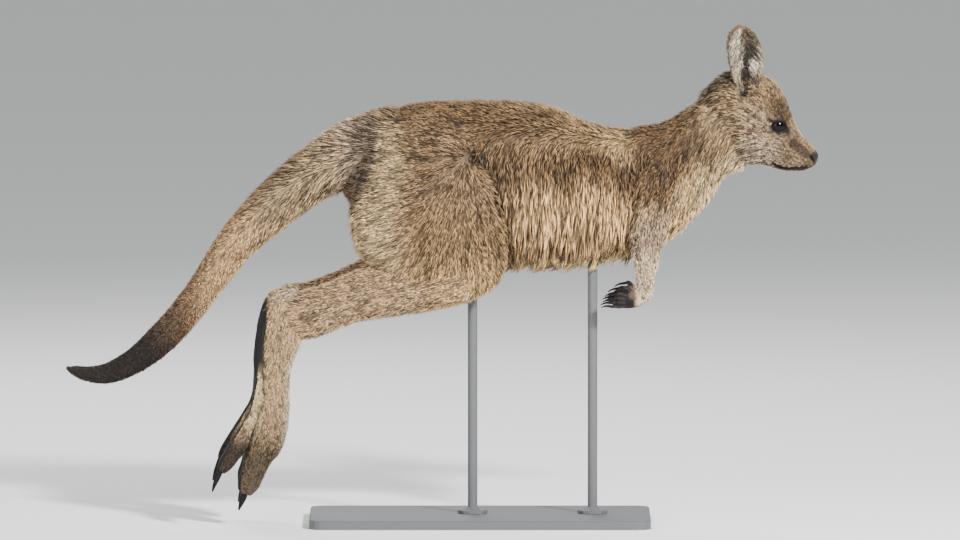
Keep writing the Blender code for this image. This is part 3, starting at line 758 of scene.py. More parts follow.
def chart_places(lofts):
    """Where each loft's own chart lies on the bake map: its corner and its size, shelf by shelf."""
    sizes = []
    for body in lofts:
        around = np.linalg.norm(np.diff(body.rings, axis=1), axis=2).sum(1).mean()
        along = np.linalg.norm(np.diff(body.rings, axis=0), axis=2).sum(0).mean()
        sizes.append((along, around))
    width = math.sqrt(sum(along * around for along, around in sizes)) * CHART_SPARE
    places, x, y, shelf = {}, 0.0, 0.0, 0.0
    for index in sorted(range(len(sizes)), key=lambda index: -sizes[index][1]):
        along, around = sizes[index]
        if x + along > width:
            x, y, shelf = 0.0, y + shelf, 0.0
        places[index] = (x, y, along, around)
        x += along
        shelf = max(shelf, around)
    scale = CHART_FILL / max(width, y + shelf)
    return np.array([places[index] for index in range(len(sizes))]) * scale


def read_fields(lofts, points, faces):
    """What each point of the skin takes from the loft under it."""
    loft_points, quads, _ = loft_mesh(lofts)
    tree = BVHTree.FromPolygons(loft_points.tolist(), quads.tolist())
    quad = np.array([tree.find_nearest(point)[2] for point in points])
    sizes = [(len(body.rings) - 1) * body.rings.shape[1] for body in lofts]
    owner = np.repeat(np.arange(len(lofts)), sizes)

    def of_owner(values):
        return np.array(values)[owner]

    around = of_owner([body.rings.shape[1] for body in lofts])
    rings = of_owner([len(body.rings) - 1 for body in lofts])
    within = np.arange(len(owner)) - of_owner(np.cumsum(sizes) - sizes)
    ring, spot = within // around, within % around
    coat = np.concatenate([body.coat[:-1].ravel() for body in lofts])
    lie = of_owner([body.lie for body in lofts])
    part = of_owner([PARTS.index(body.part) for body in lofts])
    way = unit(loft_points[quads[:, 3]] - loft_points[quads[:, 0]]) * lie[:, None]
    smooth = spread(np.c_[way[quad], coat[quad], np.eye(len(PARTS))[part[quad]]], faces, FIELD_ROUNDS)
    chart = of_owner(chart_places(lofts))
    ear = part == PARTS.index("ear")
    columns = np.where(spot < EAR_COLUMNS, spot, 2 * EAR_COLUMNS - 1 - spot) / (EAR_COLUMNS - 1)
    return SimpleNamespace(
        points=points, x=points[:, 0], z=points[:, 2], out=np.abs(points[:, 1]),
        faces=faces, normals=normals_of(points, faces), flow=unit(smooth[:, :3]), coat=smooth[:, 3],
        on=SimpleNamespace(**{name: smooth[:, 4 + index] for index, name in enumerate(PARTS)}),
        quad=quad, quads=loft_points[quads], cell=chart[:, 2:] / np.c_[rings, around],
        corner=chart[:, :2] + np.c_[ring / rings, spot / around] * chart[:, 2:],
        ear_along=np.where(ear, ring / rings, 0)[quad],
        ear_over=np.where(ear, 2 * columns - 1, 0)[quad],
        ear_inside=(ear & (spot < EAR_COLUMNS))[quad].astype(float),
    )


# --- markings
# The colours of the markings, some of them painted light and shade, before the coat's tone deepens
# them, and of the other parts.
BROWN_BACK = linear(121, 97, 69)
SHOULDER_BACK = linear(152, 125, 91)
FLANK = linear(224, 186, 136)
# Painted shade for the lower flank, where shade falls between the hanging locks.
LOW_FLANK_SHADE = linear(146, 114, 72)
PALE_PATCH = linear(182, 155, 113)
FLANK_TOP = linear(97, 73, 47)
HIP = linear(143, 117, 88)
MID_THIGH = linear(152, 123, 87)
LOW_THIGH = linear(219, 182, 132)
RUMP = linear(173, 152, 129)
REAR_THIGH = linear(234, 204, 160)
BELLY = linear(190, 164, 122)
CHEST = linear(250, 213, 158)
SHOULDER = linear(108, 84, 58)
ARM_GREY = linear(178, 153, 129)
FOREARM = linear(250, 224, 192)
NECK = linear(162, 136, 103)
THROAT = linear(250, 219, 172)
NAPE = linear(86, 73, 54)
CHEEK = linear(168, 144, 118)
CHEEK_PALE = linear(178, 161, 139)
SNOUT = linear(163, 139, 107)
FOREHEAD = linear(146, 121, 91)
BROW = linear(76, 61, 45)
# Painted light for the top of the nose bridge.
LIT_BRIDGE = linear(196, 170, 132)
MUZZLE = linear(172, 145, 111)
MUZZLE_DARK = linear(52, 40, 30)
NOSE = linear(38, 31, 31)
LIP_PALE = linear(176, 154, 126)
# Painted shadow for the chin under the mouth.
CHIN_SHADOW = linear(44, 34, 24)
LID_SKIN = linear(40, 32, 28)
LID_GREY = linear(112, 98, 86)
# Bare dark skin, also laid as painted shade in the mouth's crease, the nostrils and the ear's slit.
BARE_DARK = linear(17, 13, 12)
SOLE = linear(24, 21, 22)
# Painted highlight for the crests of the fingers.
FINGER_HIGHLIGHT = linear(66, 57, 54)
PAD_PINK = linear(126, 98, 82)
TAIL_GREY = linear(177, 152, 120)
TAIL_LIGHT = linear(240, 196, 144)
TAIL_BROWN = linear(128, 102, 77)
TAIL_DARK = linear(46, 38, 34)
SHANK_PALE = linear(201, 168, 131)
FOOT_PALE = linear(212, 178, 138)
# Pale hair with painted light, for the front of the foot and the top of the hock.
PALE_LIT_FOOT_EDGE = linear(232, 214, 182)
FOOT_CREAM = linear(240, 218, 172)
TOE_BROWN = linear(100, 86, 70)
TOE_DARK = linear(66, 54, 44)
# Pale tips of the hair, partly their own colour and partly painted glints of light.
TIP_FROST_AND_GLINT = linear(238, 226, 204)
EAR_WHITE = linear(150, 141, 125)
EAR_GRIZZLE = linear(104, 90, 72)
EAR_BRIGHT = linear(196, 187, 170)
# Dark hair and skin of the ear, also laid as painted shade in its cup and slit.
EAR_DARK = linear(34, 28, 24)
EAR_BACK = linear(120, 98, 74)
PUPIL = linear(3, 3, 3)
IRIS = linear(12, 8, 6)
EYE_RIM = linear(5, 4, 4)
LID_BLACKS = (0.7 * linear(14, 11, 10), 1.3 * linear(14, 11, 10))
WHISKER = linear(44, 36, 30)
CLAW_BLACKS = (linear(9, 8, 8), linear(26, 22, 21))
STAND_GREYS = (linear(70, 71, 73), linear(84, 85, 88))
# What each of the coat's colours is deepened by.
COAT_TONE = np.array((0.74, 0.71, 0.65))


class Marks:
    """The coat's colour at each point of the skin, laid on mark by mark. A mark fades in between
    the two numbers of its ramp, which are places in metres or shares."""

    def __init__(self, colour):
        self.colour = colour

    def lay(self, colour, share):
        self.colour = mix(self.colour, colour, share)

    def shade(self, share):
        self.colour = self.colour * (1 - share)[:, None]


def markings(skin):
    """The coat's colour at each point of the skin, and 1 on the bare soles and hands."""
    marks = Marks(mix(BROWN_BACK, SHOULDER_BACK, ramp(skin.x, 0.02, 0.18)))
    mark_body(marks, skin)
    mark_neck_and_tail(marks, skin)
    sole = mark_legs(marks, skin)
    mark_folds(marks, skin)
    hand = mark_arms(marks, skin)
    mark_head(marks, skin)
    mark_ears(marks, skin)
    return marks.colour * COAT_TONE, np.maximum(sole, hand)


def mark_body(marks, skin):
    """Flank, belly, hips, thighs, shoulder and chest."""
    x, z, on = skin.x, skin.z, skin.on
    front = ramp(x - line_x(z, THIGH_FOLD), -0.004, 0.006)
    height = z + 0.012 * np.sin(55 * x) * np.sin(21 * x + 1) + 0.004 * np.sin(170 * x)
    marks.lay(PALE_PATCH, 0.75 * near_spot(x, z, (0.180, 0.510), 0.034, (1, 0.9)))
    marks.lay(FLANK_TOP, ramp(height, 0.508, 0.490) * front * (0.5 + 0.5 * ramp(x, 0.07, 0.13)))
    marks.lay(FLANK, ramp(height, 0.486, 0.432) * front)
    # The lower flank is painted darker: painted shade between the hanging locks under the belly.
    marks.lay(LOW_FLANK_SHADE, ramp(z, 0.415, 0.375) * front)
    marks.lay(BELLY, ramp(skin.normals[:, 2], -0.5, -0.9) * on.trunk)
    hips = 1 - front
    marks.lay(HIP, hips * ramp(z, 0.56, 0.52))
    marks.lay(MID_THIGH, hips * ramp(z, 0.465, 0.40))
    marks.lay(LOW_THIGH, hips * ramp(z, 0.39, 0.32))
    marks.lay(RUMP, ramp(x, -0.10, -0.17) * ramp(z, 0.44, 0.48))
    behind = x - line_x(z, TAIL_FOLD)
    rear = ramp(behind, -0.003, 0.003) * ramp(x, -0.085, -0.128) * ramp(z, 0.555, 0.52)
    rear = np.maximum(rear, ramp(x, -0.10, -0.155) * ramp(z, 0.46, 0.42)) * (1 - on.shank)
    marks.lay(REAR_THIGH, rear * (1 - on.tail * ramp(behind, 0.0, -0.004)))
    marks.lay(SHOULDER, ramp(x, 0.19, 0.23) * ramp(z, 0.40, 0.46))
    marks.lay(CHEST, ramp(x, 0.25, 0.28) * ramp(z - 0.9 * (x - 0.25), 0.47, 0.43))


def mark_neck_and_tail(marks, skin):
    x, z, tail = skin.x, skin.z, skin.on.tail
    neck = ramp(x, 0.27, 0.31) * (1 - skin.on.ear)
    marks.lay(NECK, neck)
    height = z - 0.75 * (x - 0.30)
    marks.lay(NAPE, neck * ramp(height, 0.551, 0.572) * ramp(x, 0.38, 0.34))
    marks.lay(THROAT, neck * ramp(height, 0.490, 0.465))
    marks.lay(TAIL_GREY, tail * ramp(x, -0.16, -0.20))
    marks.lay(TAIL_LIGHT, tail * ramp(x, -0.28, -0.33))
    marks.lay(TAIL_BROWN, tail * ramp(x, -0.345, -0.405))
    over = skin.normals @ unit(np.array((-0.7, 0.0, 0.7)))
    marks.lay(TAIL_BROWN, 0.6 * tail * ramp(over, 0.25, 0.85) * ramp(x, -0.19, -0.24))
    marks.lay(TAIL_LIGHT, 0.6 * tail * ramp(over, -0.1, -0.6) * near(x, -0.28, 0.08))
    marks.lay(TAIL_DARK, tail * ramp(x + 0.02 * skin.normals[:, 2], -0.385, -0.450))


def mark_legs(marks, skin):
    """Shank, foot and toes. It gives back where the sole is bare."""
    x, z, on, normals = skin.x, skin.z, skin.on, skin.normals
    marks.lay(SHANK_PALE, on.shank * ramp(x, -0.04, -0.10))
    foot = np.clip(on.foot + on.toe, 0, 1)
    marks.lay(FOOT_PALE, foot)
    # Paler where the foot faces forward and the hock faces up: partly pale hair, partly painted light.
    pale_lit_hock = near_spot(x, z, (-0.262, 0.318), 0.030, (1, 1.5)) * ramp(normals[:, 2], 0.1, 0.5)
    marks.lay(PALE_LIT_FOOT_EDGE, np.clip(pale_lit_hock + foot * ramp(normals[:, 0], 0.5, 0.85), 0, 1))
    seam = x - line_x(z, FOOT_SEAM)
    marks.lay(FOOT_CREAM, foot * ramp(seam, 0.0, -0.002) * ramp(z, 0.125, 0.15) * ramp(z, 0.235, 0.215))
    marks.lay(TOE_BROWN, foot * ramp(z, 0.160, 0.088))
    marks.lay(TOE_DARK, on.toe * ramp(z, 0.135, 0.100))
    marks.shade(0.8 * foot * near_line(x, z, FOOT_SEAM, 0.0036))
    edge = 0.34 + 0.30 * near(z, 0.165, 0.075) + 0.16 * ramp(z, 0.135, 0.11)
    edge = edge + 0.28 * ramp(z, 0.125, 0.105) * ramp(x, -0.323, -0.319)
    sole = foot * ramp(normals @ unit(np.array((-1.0, 0.0, 0.12))) - edge, 0.0, 0.14)
    sole = sole * np.maximum(ramp(seam, -0.004, -0.008), ramp(z, 0.16, 0.14))
    sole = np.maximum(sole, foot * heel_share(x, z))
    marks.lay(SOLE, sole)
    return sole


def mark_folds(marks, skin):
    """The shade in the folds of the body and in the whorl."""
    x, z = skin.x, skin.z
    behind = x - line_x(z, TAIL_FOLD)
    rump = ramp(behind, 0.001, -0.004) * ramp(behind, -0.050, -0.008)
    folds = [
        0.72 * near_line(x, z, THIGH_FOLD, 0.010),
        0.55 * near_line(x, z, ARM_FOLD, 0.014),
        0.35 * near_line(x, z, NECK_FOLD, 0.022),
        0.62 * rump * ramp(z, 0.56, 0.52) * ramp(z, 0.39, 0.41),
        0.85 * near_spot(x, z, (WHORL[0] + 0.006, WHORL[1] + 0.004), 0.022, (1, 1.4)),
    ]
    marks.shade(np.max(folds, axis=0) * (1 - skin.on.head))


def mark_arms(marks, skin):
    """Arm and hand. It gives back where the hand is bare."""
    x, z, on = skin.x, skin.z, skin.on
    arm = np.clip(on.arm + on.paw, 0, 1)
    marks.lay(ARM_GREY, arm * ramp(z, 0.45, 0.40))
    marks.lay(FOREARM, arm * ramp(z, 0.385, 0.355))
    hand = firm(on.paw, 1.4) * ramp(x, 0.214, 0.206)
    marks.lay(BARE_DARK, hand)
    # Lighter lines along the crests of the fingers: painted highlights.
    for *finger, _ in FINGERS:
        marks.lay(FINGER_HIGHLIGHT, 0.8 * hand * near_line(x, z, finger, 0.0026) * ramp(x, 0.206, 0.200))
    pad = near_spot(x, z, PALM_PAD, 0.0085) * (0.4 + 0.6 * speckle(skin.points, 0.002))
    marks.lay(PAD_PINK, on.paw * firm(pad, 1.5, 0.8))
    return hand


def mark_head(marks, skin):
    x, z = skin.x, skin.z
    head = skin.on.head * ramp(x, 0.34, 0.365)
    marks.lay(CHEEK, head)
    low = z - 0.505 + 0.12 * (x - 0.38)
    marks.lay(CHEEK_PALE, head * ramp(low, 0.022, -0.004) * ramp(x, 0.425, 0.395))
    top = z - EYE_CENTRE[2] + 0.95 * (x - EYE_CENTRE[0])
    marks.lay(FOREHEAD, head * ramp(top, -0.016, 0.010))
    marks.lay(SNOUT, head * ramp(x, 0.394, 0.420) * ramp(low, 0.035, 0.02))
    marks.lay(BROW, head * firm(near_spot(x, z, (0.4095, 0.5575), 0.023), 2, 0.8))
    # The nose bridge is painted paler where it faces up: painted light on its ridge.
    facing_up = skin.normals @ unit(np.array((0.5, 0.0, 0.87)))
    marks.lay(LIT_BRIDGE, head * ramp(facing_up, 0.84, 0.95) * ramp(x, 0.408, 0.418) * ramp(x, 0.447, 0.434))
    marks.lay(BROW, head * 0.55 * near_spot(x, z, (0.4235, 0.5205), 0.013, (1.25, 1)))
    marks.lay(MUZZLE, head * ramp(x - 0.4 * (z - 0.505), 0.424, 0.436))
    spots = speckle(skin.points, 0.0032)
    shadow = firm(near_line(x, z, MUZZLE_SHADE, 0.0085), 2.6, 0.95)
    marks.lay(MUZZLE_DARK, head * shadow * (0.5 + 0.5 * spots))
    marks.lay(MUZZLE_DARK, head * 0.6 * ramp(x, 0.428, 0.442) * ramp(z, 0.495, 0.487))
    lip = firm(near_spot(x, z, (0.423, 0.4870), 0.0085, (0.55, 1)), 1.6)
    marks.lay(LIP_PALE, head * lip * (0.2 + 0.8 * spots))
    # The chin under the mouth is painted dark: painted shadow under the lower jaw.
    under = ramp(z - line_at(x, MOUTH), 0.0012, -0.0008) * ramp(x, 0.392, 0.402)
    marks.lay(CHIN_SHADOW, head * under * ramp(skin.out, 0.002, 0.006))
    marks.lay(MUZZLE_DARK, head * ramp(x, 0.392, 0.408) * ramp(z, 0.535, 0.520) * (1 - spots) * 0.7)
    # The mouth line: dark lip skin with painted shade in its pressed crease.
    mouth = near_line(x, z, MOUTH, 0.0028) * ramp(x, 0.390, 0.398)
    marks.lay(BARE_DARK, head * firm(mouth, 1.5))
    nose = near_spot(x, z, NOSE_PAD, NOSE_HALF_HEIGHT, (NOSE_HALF_HEIGHT / NOSE_HALF_LENGTH, 1))
    marks.lay(NOSE, head * firm(nose, 1.8, 0.95))
    # The nostril is painted darkest: painted shade in its pressed pit, on the nose's dark skin.
    marks.lay(BARE_DARK, head * firm(nostril_share(x, z), 2))
    share = eye_shares(skin.points)
    below = ramp(EYE_CENTRE[2] - z, 0.0, 0.005)
    marks.lay(LID_GREY, ramp(share, 2.7, 2.2) * below * 0.6)
    rim = ramp(share, 1.7 + 0.2 * below, 1.45 + 0.2 * below)
    rim = np.maximum(rim, 1.3 * near_line(x, z, EYE_CORNER, 0.005))
    marks.lay(LID_SKIN, np.clip(rim, 0, 1) * head)
    # The slit at the ear's root is painted dark: painted shade in its pressed notch.
    slit = firm(near_line(x, z, EAR_SLIT, 0.0095), 1.6)
    marks.lay(BARE_DARK, slit * ramp(skin.out, 0.012, 0.018))
    marks.shade(0.4 * near_line(x, z, JAW_FOLD, 0.015))


def mark_ears(marks, skin):
    """Brown behind and white inside, with a dark hollow that runs down into a slit. The hollow is
    partly the ear's own dark hair and partly painted shade in its cup; the soft line beside it is a
    painted shadow, and the slit is painted shade.
    """
    along, over = skin.ear_along, skin.ear_over
    spots = speckle(skin.points, 0.0035)
    back = mix(EAR_BACK, EAR_DARK, ramp(np.abs(over), 0.75, 1.0) * 0.5)
    inside = Marks(EAR_WHITE)
    inside.lay(EAR_GRIZZLE, ramp(over, -0.45, -0.15) * ramp(along, 0.40, 0.54))
    inside.lay(EAR_BRIGHT, ramp(over, 0.10, 0.30) * ramp(along, 0.31, 0.25))
    inside.lay(EAR_GRIZZLE, ramp(over, 0.05, 0.30) * ramp(along, 0.17, 0.10))
    inside.lay(EAR_DARK, 0.55 * ramp(along, 0.46, 0.56) * ramp(over, -0.45, -0.15) * spots)
    # Painted shade in the cup of the ear, over its own darker hair.
    hollow = near(np.hypot((over - 0.30) / 0.62, (along - 0.41) / 0.16), 0, 1)
    inside.lay(EAR_DARK, firm(hollow, 3.5) * (0.85 + 0.15 * spots))
    # A soft dark line down the inside: a painted shadow.
    inside.lay(EAR_DARK, 0.6 * near(over, -0.18, 0.3) * ramp(along, 0.62, 0.48))
    # The slit at the bottom of the opening: painted shade.
    slit = near(over, -0.08, 0.34 + 0.3 * ramp(along, 0.22, 0.05)) * ramp(along, 0.42, 0.30)
    inside.lay(EAR_DARK, firm(slit, 2.5))
    inside.lay(EAR_DARK, 0.7 * ramp(np.abs(over), 0.88, 0.99) * ramp(along, 0.1, 0.3))
    marks.lay(mix(back, inside.colour, skin.ear_inside), firm(skin.on.ear, 1.5))


def bare_skin(skin, bare):
    """1 where no tuft grows: soles, hands, lids, nostrils, lips and the slit at the ear's root."""
    x, z, on = skin.x, skin.z, skin.on
    slit = near_line(x, z, EAR_SLIT, 0.0105) * ramp(skin.out, 0.012, 0.018)
    return np.max([
        bare,
        ramp(eye_shares(skin.points), 1.6, 1.4),
        near_line(x, z, EYE_CORNER, 0.003) * on.head,
        firm(nostril_share(x, z), 3) * (x > 0.43),
        near_line(x, z, MOUTH, 0.002) * (x > 0.392),
        firm(slit, 1.6) * (1 - on.ear),
    ], axis=0)


def add_variety(skin, colours):
    """How much the tufts differ: the tips pale, partly as the hair's own pale tips and partly as
    painted glints of light; grizzle sets each tuft apart from the next, and evenness fades out
    the streaks and locks."""
    on = skin.on
    limbs = np.clip(on.arm + on.shank + on.foot + on.tail, 0, 1)
    back = on.trunk * ramp(skin.z, 0.48, 0.54)
    # The tips pale most on the limbs and on light coat: partly pale hair tips, partly painted glints of
    # light.
    skin.frost = ramp(colours.mean(axis=1), 0.12, 0.35) * (0.05 + 0.5 * limbs)
    skin.grizzle = on.ear * skin.ear_inside + 0.5 * on.head + 0.6 * limbs - 0.35 * back
    skin.even = np.clip(0.5 * on.tail * ramp(skin.x, -0.32, -0.38) + 0.25 * on.foot, 0, 1)


# --- coat
def lie_of_coat(skin):
    """The way the hair lies along the skin, its length, the width of its locks, and how far the
    tufts of a lock gather to its middle."""
    x, z, on, normals = skin.x, skin.z, skin.on, skin.normals
    down = np.array((0.0, 0.0, -1.0))
    side = 1 - normals[:, 2] ** 2
    fold = x - line_x(z, THIGH_FOLD)
    flank = ramp(fold, -0.003, 0.005) * ramp(x, 0.25, 0.21) * ramp(z, 0.545, 0.475) * (1 - on.arm)
    sag = 2.6 * flank * np.sqrt(side)
    sag += on.trunk * side * (0.6 + 0.3 * ramp(x, 0.24, 0.28))
    sag += on.head * ramp(x, 0.40, 0.36) * ramp(z, 0.55, 0.50) * 0.9
    flow = skin.flow * (1 - 0.9 * flank * np.sqrt(side))[:, None] + sag[:, None] * down
    swirl = unit((skin.points - (WHORL[0], 0.0, WHORL[1])) * (1, 0, 1))
    swirl = mix(swirl, np.array((-1.0, 0.0, 0.0)), ramp(z, WHORL[1] - 0.01, WHORL[1] + 0.03))
    swirl = swirl + np.array((-0.8, 0.0, 0.15)) * ramp(x, -0.06, -0.13)[:, None]
    leg = ramp(fold, 0.003, -0.003) * ramp(z, 0.30, 0.33) * (1 - on.shank) * (1 - on.tail)
    leg = leg * ramp(x, -0.19, -0.15)
    flow = mix(flow, unit(swirl), leg * ramp(np.abs(normals[:, 1]), 0.1, 0.4))
    flow = flow + (0.8 * on.tail * np.clip(1.5 * normals[:, 2], -1, 1))[:, None] * -down
    flow[:, 0] -= np.sign(skin.ear_over) * on.ear * skin.ear_inside * 0.5
    flow = unit(flow - dot(flow, normals)[:, None] * normals)
    low = ramp(z, 0.49, 0.40)
    belly = flank * ramp(normals[:, 2], -0.35, -0.7)
    length = skin.coat * (2.1 + 1.2 * flank * low - 0.8 * belly)
    sleek = on.tail * (0.45 * ramp(x, -0.36, -0.24) - 0.25 * ramp(x, -0.33, -0.38))
    length = length * (1 + sleek - 0.3 * on.head * ramp(x, 0.34, 0.37))
    near_ear = near_line(x, z, EAR_SLIT, 0.022) * (1 - on.ear) * ramp(skin.out, 0.01, 0.016)
    throat = on.head * ramp(normals[:, 2], -0.2, -0.6) * ramp(x, 0.39, 0.37)
    length = length * (1 - 0.6 * near_ear + 0.8 * throat)
    length = np.maximum(length + 0.004 * on.ear * skin.ear_inside, SHORTEST_TUFT)
    hanging = flank * ramp(z, 0.42, 0.375)
    lock = 0.0027 + 0.0023 * flank + 0.0008 * ramp(x, 0.22, 0.28) * (1 - on.head)
    lock = np.minimum(lock, 0.35 * length + 0.001) + 0.0045 * hanging
    gather = 0.35 + 0.35 * flank * low + 0.1 * on.trunk + 0.25 * hanging
    return SimpleNamespace(flow=flow, length=length, lock=lock, gather=gather, drawn_out=1 + 2.0 * flank,
                           lift=1 + 0.3 * belly)


def take(field, skin, face, weight):
    """A field of the skin at roots given by a face and a weight for each of its corners."""
    return np.einsum("ij...,ij->i...", field[skin.faces[face]], weight)


def scatter(skin, spacing, rng):
    """Roots over the skin, closer together where the tufts are finer, and the spacing they get."""
    area = np.linalg.norm(face_normals(skin.points, skin.faces), axis=1) / 2
    wanted = area / spacing[skin.faces].mean(1) ** 2
    scale = TUFTS / wanted.sum()
    count = rng.poisson(wanted * scale)
    face = np.repeat(np.arange(len(area)), count)
    return face, rng.dirichlet((1, 1, 1), len(face)), spacing / math.sqrt(scale)


def streaks(roots, steps, rng):
    """A random level at each root, drawn out into long streaks along the lie of the coat."""
    tree = tree_of(roots)
    after = np.array([tree.find(place)[1] for place in roots + steps])
    level = rng.normal(0, 1, len(roots))
    total, spot = level.copy(), after
    for _ in range(STREAK_STEPS):
        total += level[spot]
        spot = after[spot]
    return total / total.std()


def grow(skin, colours, bare, rng):
    """Every tuft: its root, bend and tip, its width, its colour and its shade."""
    lie = lie_of_coat(skin)
    width = np.clip(TUFT_WIDTH + TUFT_WIDENING * lie.length, FINEST_TUFT, WIDEST_TUFT)
    wanted = SPACING_BY_WIDTH * width + SPACING_BY_LENGTH * lie.length
    face, weight, spacing = scatter(skin, wanted, rng)
    keep = rng.random(len(face)) > take(bare, skin, face, weight)
    face, weight = face[keep], weight[keep]
    count = len(face)

    def at(field):
        return take(field, skin, face, weight)

    root, normal, way = at(skin.points), unit(at(skin.normals)), unit(at(lie.flow))
    length, deep, gather = at(lie.length), at(skin.coat), at(lie.gather)
    centres = np.flatnonzero(rng.random(count) < (at(spacing) / at(lie.lock)) ** 2)
    tree = tree_of(root[centres])
    own = np.array([tree.find(place)[1] for place in root])
    step = way * (length * STREAK_STEP_SHARE * at(lie.drawn_out))[:, None]
    streak = streaks(root, step, rng)
    lock = streaks(root[centres], 1.5 * step[centres], rng)[own]
    own = centres[own]

    long = length * rng.uniform(*LENGTH_SPREAD, count)
    rise = deep / long * rng.uniform(*RISE_SPREAD, count) * (1 + 0.2 * streak + 0.2 * lock) * at(lie.lift)
    rise = np.clip(rise, *RISE_LIMITS)
    across = np.cross(normal, way)
    turn = rng.normal(0, 1, count) * (0.19 - 0.12 * gather)
    way = unit(way + across * turn[:, None])
    high, long = (long * rise)[:, None], long[:, None]
    bend = root + way * long * 0.35 + normal * high * 0.9
    tip = root + way * long * np.sqrt(1 - rise**2)[:, None] + normal * high
    offset = root - root[own]
    gather = np.clip(gather * rng.uniform(*GATHER_SPREAD, count), 0, GATHER_LIMIT)[:, None]
    tip = tip + (tip[own] + offset * 0.2 - tip) * gather
    bend = bend + (bend[own] + offset * 0.7 - bend) * gather
    uneven = rng.normal(0, TUFT_SPREAD, count) * (1 + at(skin.grizzle))
    return SimpleNamespace(
        root=root - normal * ROOT_DEPTH, bend=bend, tip=tip, long=long[:, 0], normal=normal,
        wide=at(width) * rng.uniform(*WIDTH_SPREAD, count), colour=at(colours), face=face,
        frost=at(skin.frost) * rng.random(count) ** 2,
        shade=uneven + (STREAK_SPREAD * streak + LOCK_SPREAD * lock) * (1 - at(skin.even)))


def tuft_faces(stations, count):
    """The triangles of that many closed spindles: a root point, rings of three, and a tip."""
    rings = len(stations)
    faces = [(0, 2, 1), (0, 3, 2), (0, 1, 3)]
    for ring in range(rings - 1):
        base = 1 + 3 * ring
        for spot in range(3):
            after = (spot + 1) % 3
            faces.append((base + spot, base + after, base + 3 + after))
            faces.append((base + spot, base + 3 + after, base + 3 + spot))
    base, tip = 3 * rings - 2, 3 * rings + 1
    faces += [(base, base + 1, tip), (base + 1, base + 2, tip), (base + 2, base, tip)]
    return (np.array(faces) + np.arange(count)[:, None, None] * (tip + 1)).reshape(-1, 3)


def along_bend(tufts, share):
    return (1 - share) ** 2 * tufts.root + 2 * share * (1 - share) * tufts.bend + share**2 * tufts.tip


def tuft_points(tufts, stations):
    """The root, three points round each station, and the tip."""
    points = [tufts.root]
    for share, swell in stations:
        centre = along_bend(tufts, share)
        ahead = unit(along_bend(tufts, share + 0.1) - along_bend(tufts, share - 0.1))
        across = unit(np.cross(tufts.normal, ahead))
        up = np.cross(ahead, across)
        half = (tufts.wide / 2 * swell)[:, None]
        points += [centre + half * (across * a + up * b) for a, b in TUFT_SECTION]
    return np.stack([*points, tufts.tip], axis=1)


def tuft_colours(tufts, stations, rng):
    """Dark at the root, partly undercoat and partly painted shade deep in the coat, and light
    toward the tip, no two tufts quite alike.
    """
    shade = np.exp(np.clip(tufts.shade, *SHADE_LIMITS))[:, None]
    warm = 1 + rng.normal(0, WARMTH_SPREAD, len(shade))[:, None] * np.array((1.0, 0.0, -1.0))
    body = tufts.colour * shade * warm
    root, tip, rise = SHORT_LEVELS if stations is SHORT_STATIONS else LONG_LEVELS
    levels = [root]
    for share, _ in stations:
        levels += [root + (tip - root) * share**rise] * 3
    levels.append(tip)
    made = np.stack([body * level for level in levels], axis=1)
    made = made * np.minimum(1, LIGHTEST / made.max(axis=2, keepdims=True))
    # The tips are paled toward white: partly the hair's own pale tips, partly painted glints of light.
    made[:, -1] = mix(made[:, -1], TIP_FROST_AND_GLINT, tufts.frost)
    return made


def tuft_map(tufts, skin, stations):
    """A small patch for each tuft at its root's place on the lofts' own charts."""
    quad = skin.quad[skin.faces[tufts.face, 0]]
    corners = skin.quads[quad]
    along, around = corners[:, 3] - corners[:, 0], corners[:, 1] - corners[:, 0]
    offset = tufts.root - corners[:, 0]
    share = np.stack([dot(offset, way) / np.maximum(dot(way, way), 1e-12) for way in (along, around)], axis=1)
    place = skin.corner[quad] + np.clip(share, -0.5, 1.5) * skin.cell[quad]
    place = np.clip(place, 0.002, 0.998 - BAKE_PATCH)
    spots = [(0.5, 0.0)]
    for level, _ in stations:
        spots += [(0.0, level), (1.0, level), (0.5, level + 0.1)]
    spots.append((0.5, 1.0))
    return place[:, None] + np.array(spots) * BAKE_PATCH


def add_coat(skin, colours, bare, material):
    """The coat in pieces, each with its share of the short tufts and of the long ones."""
    rng = np.random.default_rng(SEED)
    tufts = grow(skin, colours, bare, rng)
    long = tufts.long > LONG_TUFT
    groups = []
    for stations, chosen in ((SHORT_STATIONS, ~long), (LONG_STATIONS, long)):
        kind = SimpleNamespace(**{name: values[chosen] for name, values in vars(tufts).items()})
        groups.append((tuft_points(kind, stations), tuft_colours(kind, stations, rng),
                       tuft_map(kind, skin, stations), stations))
    for piece in range(COAT_PIECES):
        points, shades, places, faces, base = [], [], [], [], 0
        for *fields, stations in groups:
            tuft, shade, place = (values[piece::COAT_PIECES] for values in fields)
            corners = tuft_faces(stations, len(tuft))
            tuft, shade, place = np.concatenate(tuft), np.concatenate(shade), np.concatenate(place)
            points.append(tuft)
            shades.append(shade)
            places.append(place[corners.ravel()])
            faces.append(corners + base)
            base += len(tuft)
        obj = mesh_object(f"coat_{piece + 1}", np.vstack(points), np.vstack(faces))
        paint(obj, np.vstack(shades))
        layer = obj.data.uv_layers.new(name="OFBake")
        layer.uv.foreach_set("vector", np.vstack(places).astype(np.float32).ravel())
        settle(obj, material, "coat")


# --- materials
def new_material(name, roughness, shine=0.5):
    """A new material, its node tree and its shader."""
    made = bpy.data.materials.new(name)
    made.use_nodes = True
    tree = made.node_tree
    shader = tree.nodes["Principled BSDF"]
    shader.inputs["Roughness"].default_value = roughness
    shader.inputs["Specular IOR Level"].default_value = shine
    return made, tree, shader


def add_node(tree, kind, **values):
    """A node of this kind, with the values that its inputs take."""
    node = tree.nodes.new(f"ShaderNode{kind}")
    for name, value in values.items():
        node.inputs[name.replace("_", " ")].default_value = value
    return node


